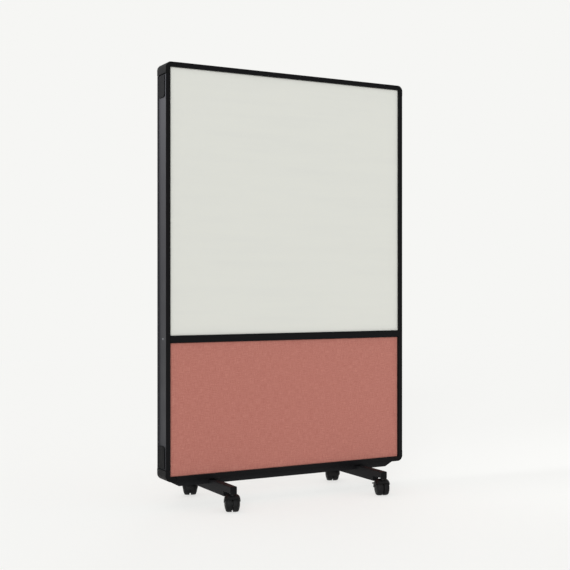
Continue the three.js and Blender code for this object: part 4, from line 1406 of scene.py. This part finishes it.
    def build_wheel(self, letter: str, turn: float) -> None:
        """Makes one wheel: a domed disc with a tread ring and a hollow inner side.

        Args:
            letter: a for the wheel on the axle's positive side, b for the other.
            turn: the turn about Z that brings it to its side.
        """
        inner, rim = self.wheel_gap / 2, self.radius
        shoulder = rim - self.tread_height
        edge, join = inner + self.tread_width, self.wheel_face(shoulder)
        bore, boss, button = self.wheel_bore, self.boss_radius, self.button_radius
        bed = inner + self.hollow_depth
        curve = [
            (
                shoulder + (rim - shoulder) * math.cos(a),
                edge + (join - edge) * math.sin(a),
            )
            for a in (0.35, 0.7, 1.05, 1.35)
        ]
        profile = [
            (0, self.bore_end), (bore, self.bore_end), (bore, inner + 0.3),
            (bore + 0.3, inner), (boss - 0.4, inner), (boss, inner + 0.4), (boss, bed),
            (shoulder - 6, bed), (shoulder - 4.2, inner + 0.5), (shoulder - 3.6, inner),
            (rim - 1.6, inner), (rim - 0.5, inner + 0.5), (rim, inner + 1.6),
            (rim, edge), *curve, (shoulder, join), (shoulder - 0.5, join - 0.9),
            (shoulder - 1.1, join + 0.1),
            *[(r, self.wheel_face(r)) for r in (28, 25, 22, 19, 16, 13, 10)],
            (button + 0.4, self.wheel_face(button + 0.4)),
            (button, self.wheel_face(button) - 0.6),
            (button - 0.4, self.wheel_face(button)), (4.5, self.half_span - 0.1),
            (0, self.half_span),
        ]
        bm = turned(profile, Axis.X, 72)
        for face in bm.faces:
            if face.calc_center_median().yz.length > shoulder - 0.3:
                face.material_index = 1
        body = f"wheel_{letter}_{self.name}"
        piece = Piece(f"caster_{body}", "disc", self.paints.wheel, body, 34.0)
        piece.finish(bm, self.at @ Matrix.Rotation(turn, 4, "Z"))

    def nose_reach(self) -> float:
        """From the pedal's pivot to a brake nose's corner, just short of the tread."""
        node_radius = self.radius / math.cos(math.pi / 20)  # the solid has 20 flats
        return math.hypot(self.pivot_reach, self.pivot_rise) - node_radius - self.play

    def build_pedal(self) -> None:
        """Makes the brake pedal: ribbed foot plate, barrel and two brake noses."""
        half, start = self.pedal_thickness / 2, self.lug_radius + 0.6
        plates = [
            self.plate(start, self.pedal_half_width, 1.4),
            self.plate(0.0, self.barrel_half, 0.6),
        ]
        side, thick = self.pedal_half_width - 4, 0.45
        for i in range(3):
            place = start + 1.2 + self.rib_spacing * i
            top = half - 0.1 * i + 0.1
            rib = block(
                Vector((-side, place - thick, top - 0.6)),
                Vector((side, place + thick, top + 0.25)),
            )
            bevel(rib, lambda e: runs_along(e, Axis.X), 0.2, 2)
            plates.append(rib)
        barrel, stud = self.barrel_half, self.barrel_half + self.lug_thickness
        profile = [
            (0, -stud), (self.stud_radius, -stud), (self.stud_radius, -barrel),
            (self.barrel_radius, -barrel), (self.barrel_radius, barrel),
            (self.stud_radius, barrel), (self.stud_radius, stud), (0, stud),
        ]
        plates.append(turned(profile, Axis.X, 32))
        bm = merge(bmesh.new(), *plates, *self.noses())
        at = self.at @ Matrix.Translation((0, self.pivot_reach, self.pivot_rise))
        node = f"brake_pedal_{self.name}"
        Piece(node, "treadle", self.paints.nylon, f"pedal_{self.name}").finish(bm, at)

    def plate(self, near: float, wide: float, soft: float) -> BMesh:
        """One flat part of the pedal, from near its pivot to its tip.

        Args:
            near: how far from the pivot it starts.
            wide: half its width.
            soft: the radius of its side edges.

        Returns:
            The plate, about the pivot.
        """
        half = self.pedal_thickness / 2
        tip = self.pedal_reach - self.pivot_reach - half
        outline = [
            (near, -half - 0.2), (tip, -half - 1), *arc((tip, -1), half, -80, 80, 10),
            (tip, half - 0.4), (near, half),
        ]
        made = prism(outline, 2 * wide)
        bevel(made, lambda e: lies_at(e, Axis.Z, wide, -wide), soft, 3)
        made.transform(SIDE_ON)
        return made

    def noses(self) -> list[BMesh]:
        """The two brake noses, clear of the treads until the pedal is down."""
        nose = self.nose_thickness / 2
        corner = math.asin(nose / self.nose_reach())
        length = self.nose_reach() * math.cos(corner)
        line = math.atan2(self.pivot_rise, self.pivot_reach)
        turn = Matrix.Rotation(line + corner + math.radians(self.pedal_travel), 4, "X")
        made = []
        for hand in Hand:
            ends = (self.nose_inner, self.nose_outer)
            low, high = sorted(hand.value * x for x in ends)
            bar = block(Vector((low, -length, -nose)), Vector((high, 0, nose)))
            bevel(bar, lambda e: lies_at(e, Axis.Y, -length), 0.5, 2)
            bar.transform(turn)
            made.append(bar)
        return made


# ---------------------------------------------------------------- studio
@dataclass
class Studio:
    """The pale floor, soft lamps, world and the camera; lengths in metres."""

    reach: float = 9.0
    paper: str = "f6f6f4"
    air: float = 0.65
    lamp_spread: float = 24.0  # degrees that each wide lamp fills
    lamp_rise: float = 14.0  # its height above the floor in degrees
    beam_at: Triple = (-3.4, 0.5, 3.0)
    beam_to: Triple = (-0.6, 0.0, 2.1)
    beam_spread: float = 40.0
    camera_at: Triple = (-2.3064, -4.2370, 0.9453)
    camera_turn: float = -28.51  # degrees about Z from looking along +Y
    lens: float = 67.64

    def build(self) -> None:
        """Makes the whole studio."""
        self.build_floor()
        self.build_world()
        self.build_lamps()
        self.build_camera()
        bpy.context.scene.view_settings.view_transform = "Standard"

    def build_floor(self) -> None:
        """Makes the floor as one wide sheet of seamless paper."""
        bm = bmesh.new()
        bmesh.ops.create_grid(bm, x_segments=4, y_segments=4, size=self.reach)
        mesh = to_mesh("floor_paper", bm)
        paper = StudioPaper("seamless_paper", self.paper, 0.95, gloss=0.0)
        mesh.materials.append(paper.make())
        floor = show("floor_paper", mesh)

    def build_world(self) -> None:
        """Makes a soft even sky, which the camera sees as pale paper."""
        world = bpy.data.worlds.new("studio_air")
        bpy.context.scene.world = world
        world.use_nodes = True
        tree = world.node_tree
        tree.nodes.clear()
        skies = [
            add_node(tree, "Background", {"Color": colour, "Strength": strength})
            for colour, strength in (
                ((1.0, 1.0, 1.0, 1.0), self.air), (to_linear(self.paper), 1.0),
            )
        ]
        links = {i: sky.outputs["Background"] for i, sky in enumerate(skies, 1)}
        links[0] = add_node(tree, "LightPath").outputs["Is Camera Ray"]
        mix = add_node(tree, "MixShader", {}, links)
        add_node(tree, "OutputWorld", {}, {"Surface": mix.outputs["Shader"]})

    def build_lamps(self) -> None:
        """Hangs wide even lamps in front and behind, and a narrow one at the left."""
        rise = math.radians(self.lamp_rise)
        for name, azimuth, power in (("front", -35.0, 1.3), ("back", 145.0, 0.5)):
            turn = math.radians(azimuth)  # about Z from the front face
            flat = Vector((math.sin(turn), -math.cos(turn), 0))
            way = flat * math.cos(rise) + UP * math.sin(rise)
            angle = math.radians(self.lamp_spread)
            self.hang(name, "SUN", way * 5, -way, energy=power, angle=angle)
        at, to = Vector(self.beam_at), Vector(self.beam_to)
        spread = math.radians(self.beam_spread)  # narrowed by a honeycomb
        self.hang("side", "AREA", at, to - at, energy=11.0, size=0.8, spread=spread)

    @staticmethod
    def hang(name: str, kind: str, at: Vector, way: Vector, **settings: float) -> None:
        """Makes a lamp that shines along a direction.

        Args:
            name: what it is called.
            kind: SUN or AREA.
            at: its place.
            way: where it shines.
            settings: the lamp's own numbers.
        """
        data = bpy.data.lights.new(f"{name}_lamp", kind)
        for key, value in settings.items():
            setattr(data, key, value)
        lamp = show(f"{name}_lamp", data)
        lamp.location = at
        lamp.rotation_euler = way.to_track_quat("-Z", "Y").to_euler()

    def build_camera(self) -> None:
        """Sets the camera level with the board's middle, as in the photograph."""
        data = bpy.data.cameras.new("camera")
        data.lens = self.lens
        data.sensor_width = 36.0
        data.clip_end = 60.0
        camera = show("camera", data)
        camera.location = self.camera_at
        camera.rotation_euler = (math.pi / 2, 0.0, math.radians(self.camera_turn))
        bpy.context.scene.camera = camera


def main() -> None:
    """Builds the studio and the partition."""
    logging.basicConfig(level=logging.INFO, format="%(message)s")
    Studio().build()
    paints = Paints()
    for part in (FrameBars, CornerCaps, Boards, Base, PanScrews):
        part(paints).build()
    for name in ("front_left", "front_right", "rear_left", "rear_right"):
        Caster(paints, name, f"pedal_{name}" in frame["bodies"]).build()


if __name__ == "__main__":
    main()
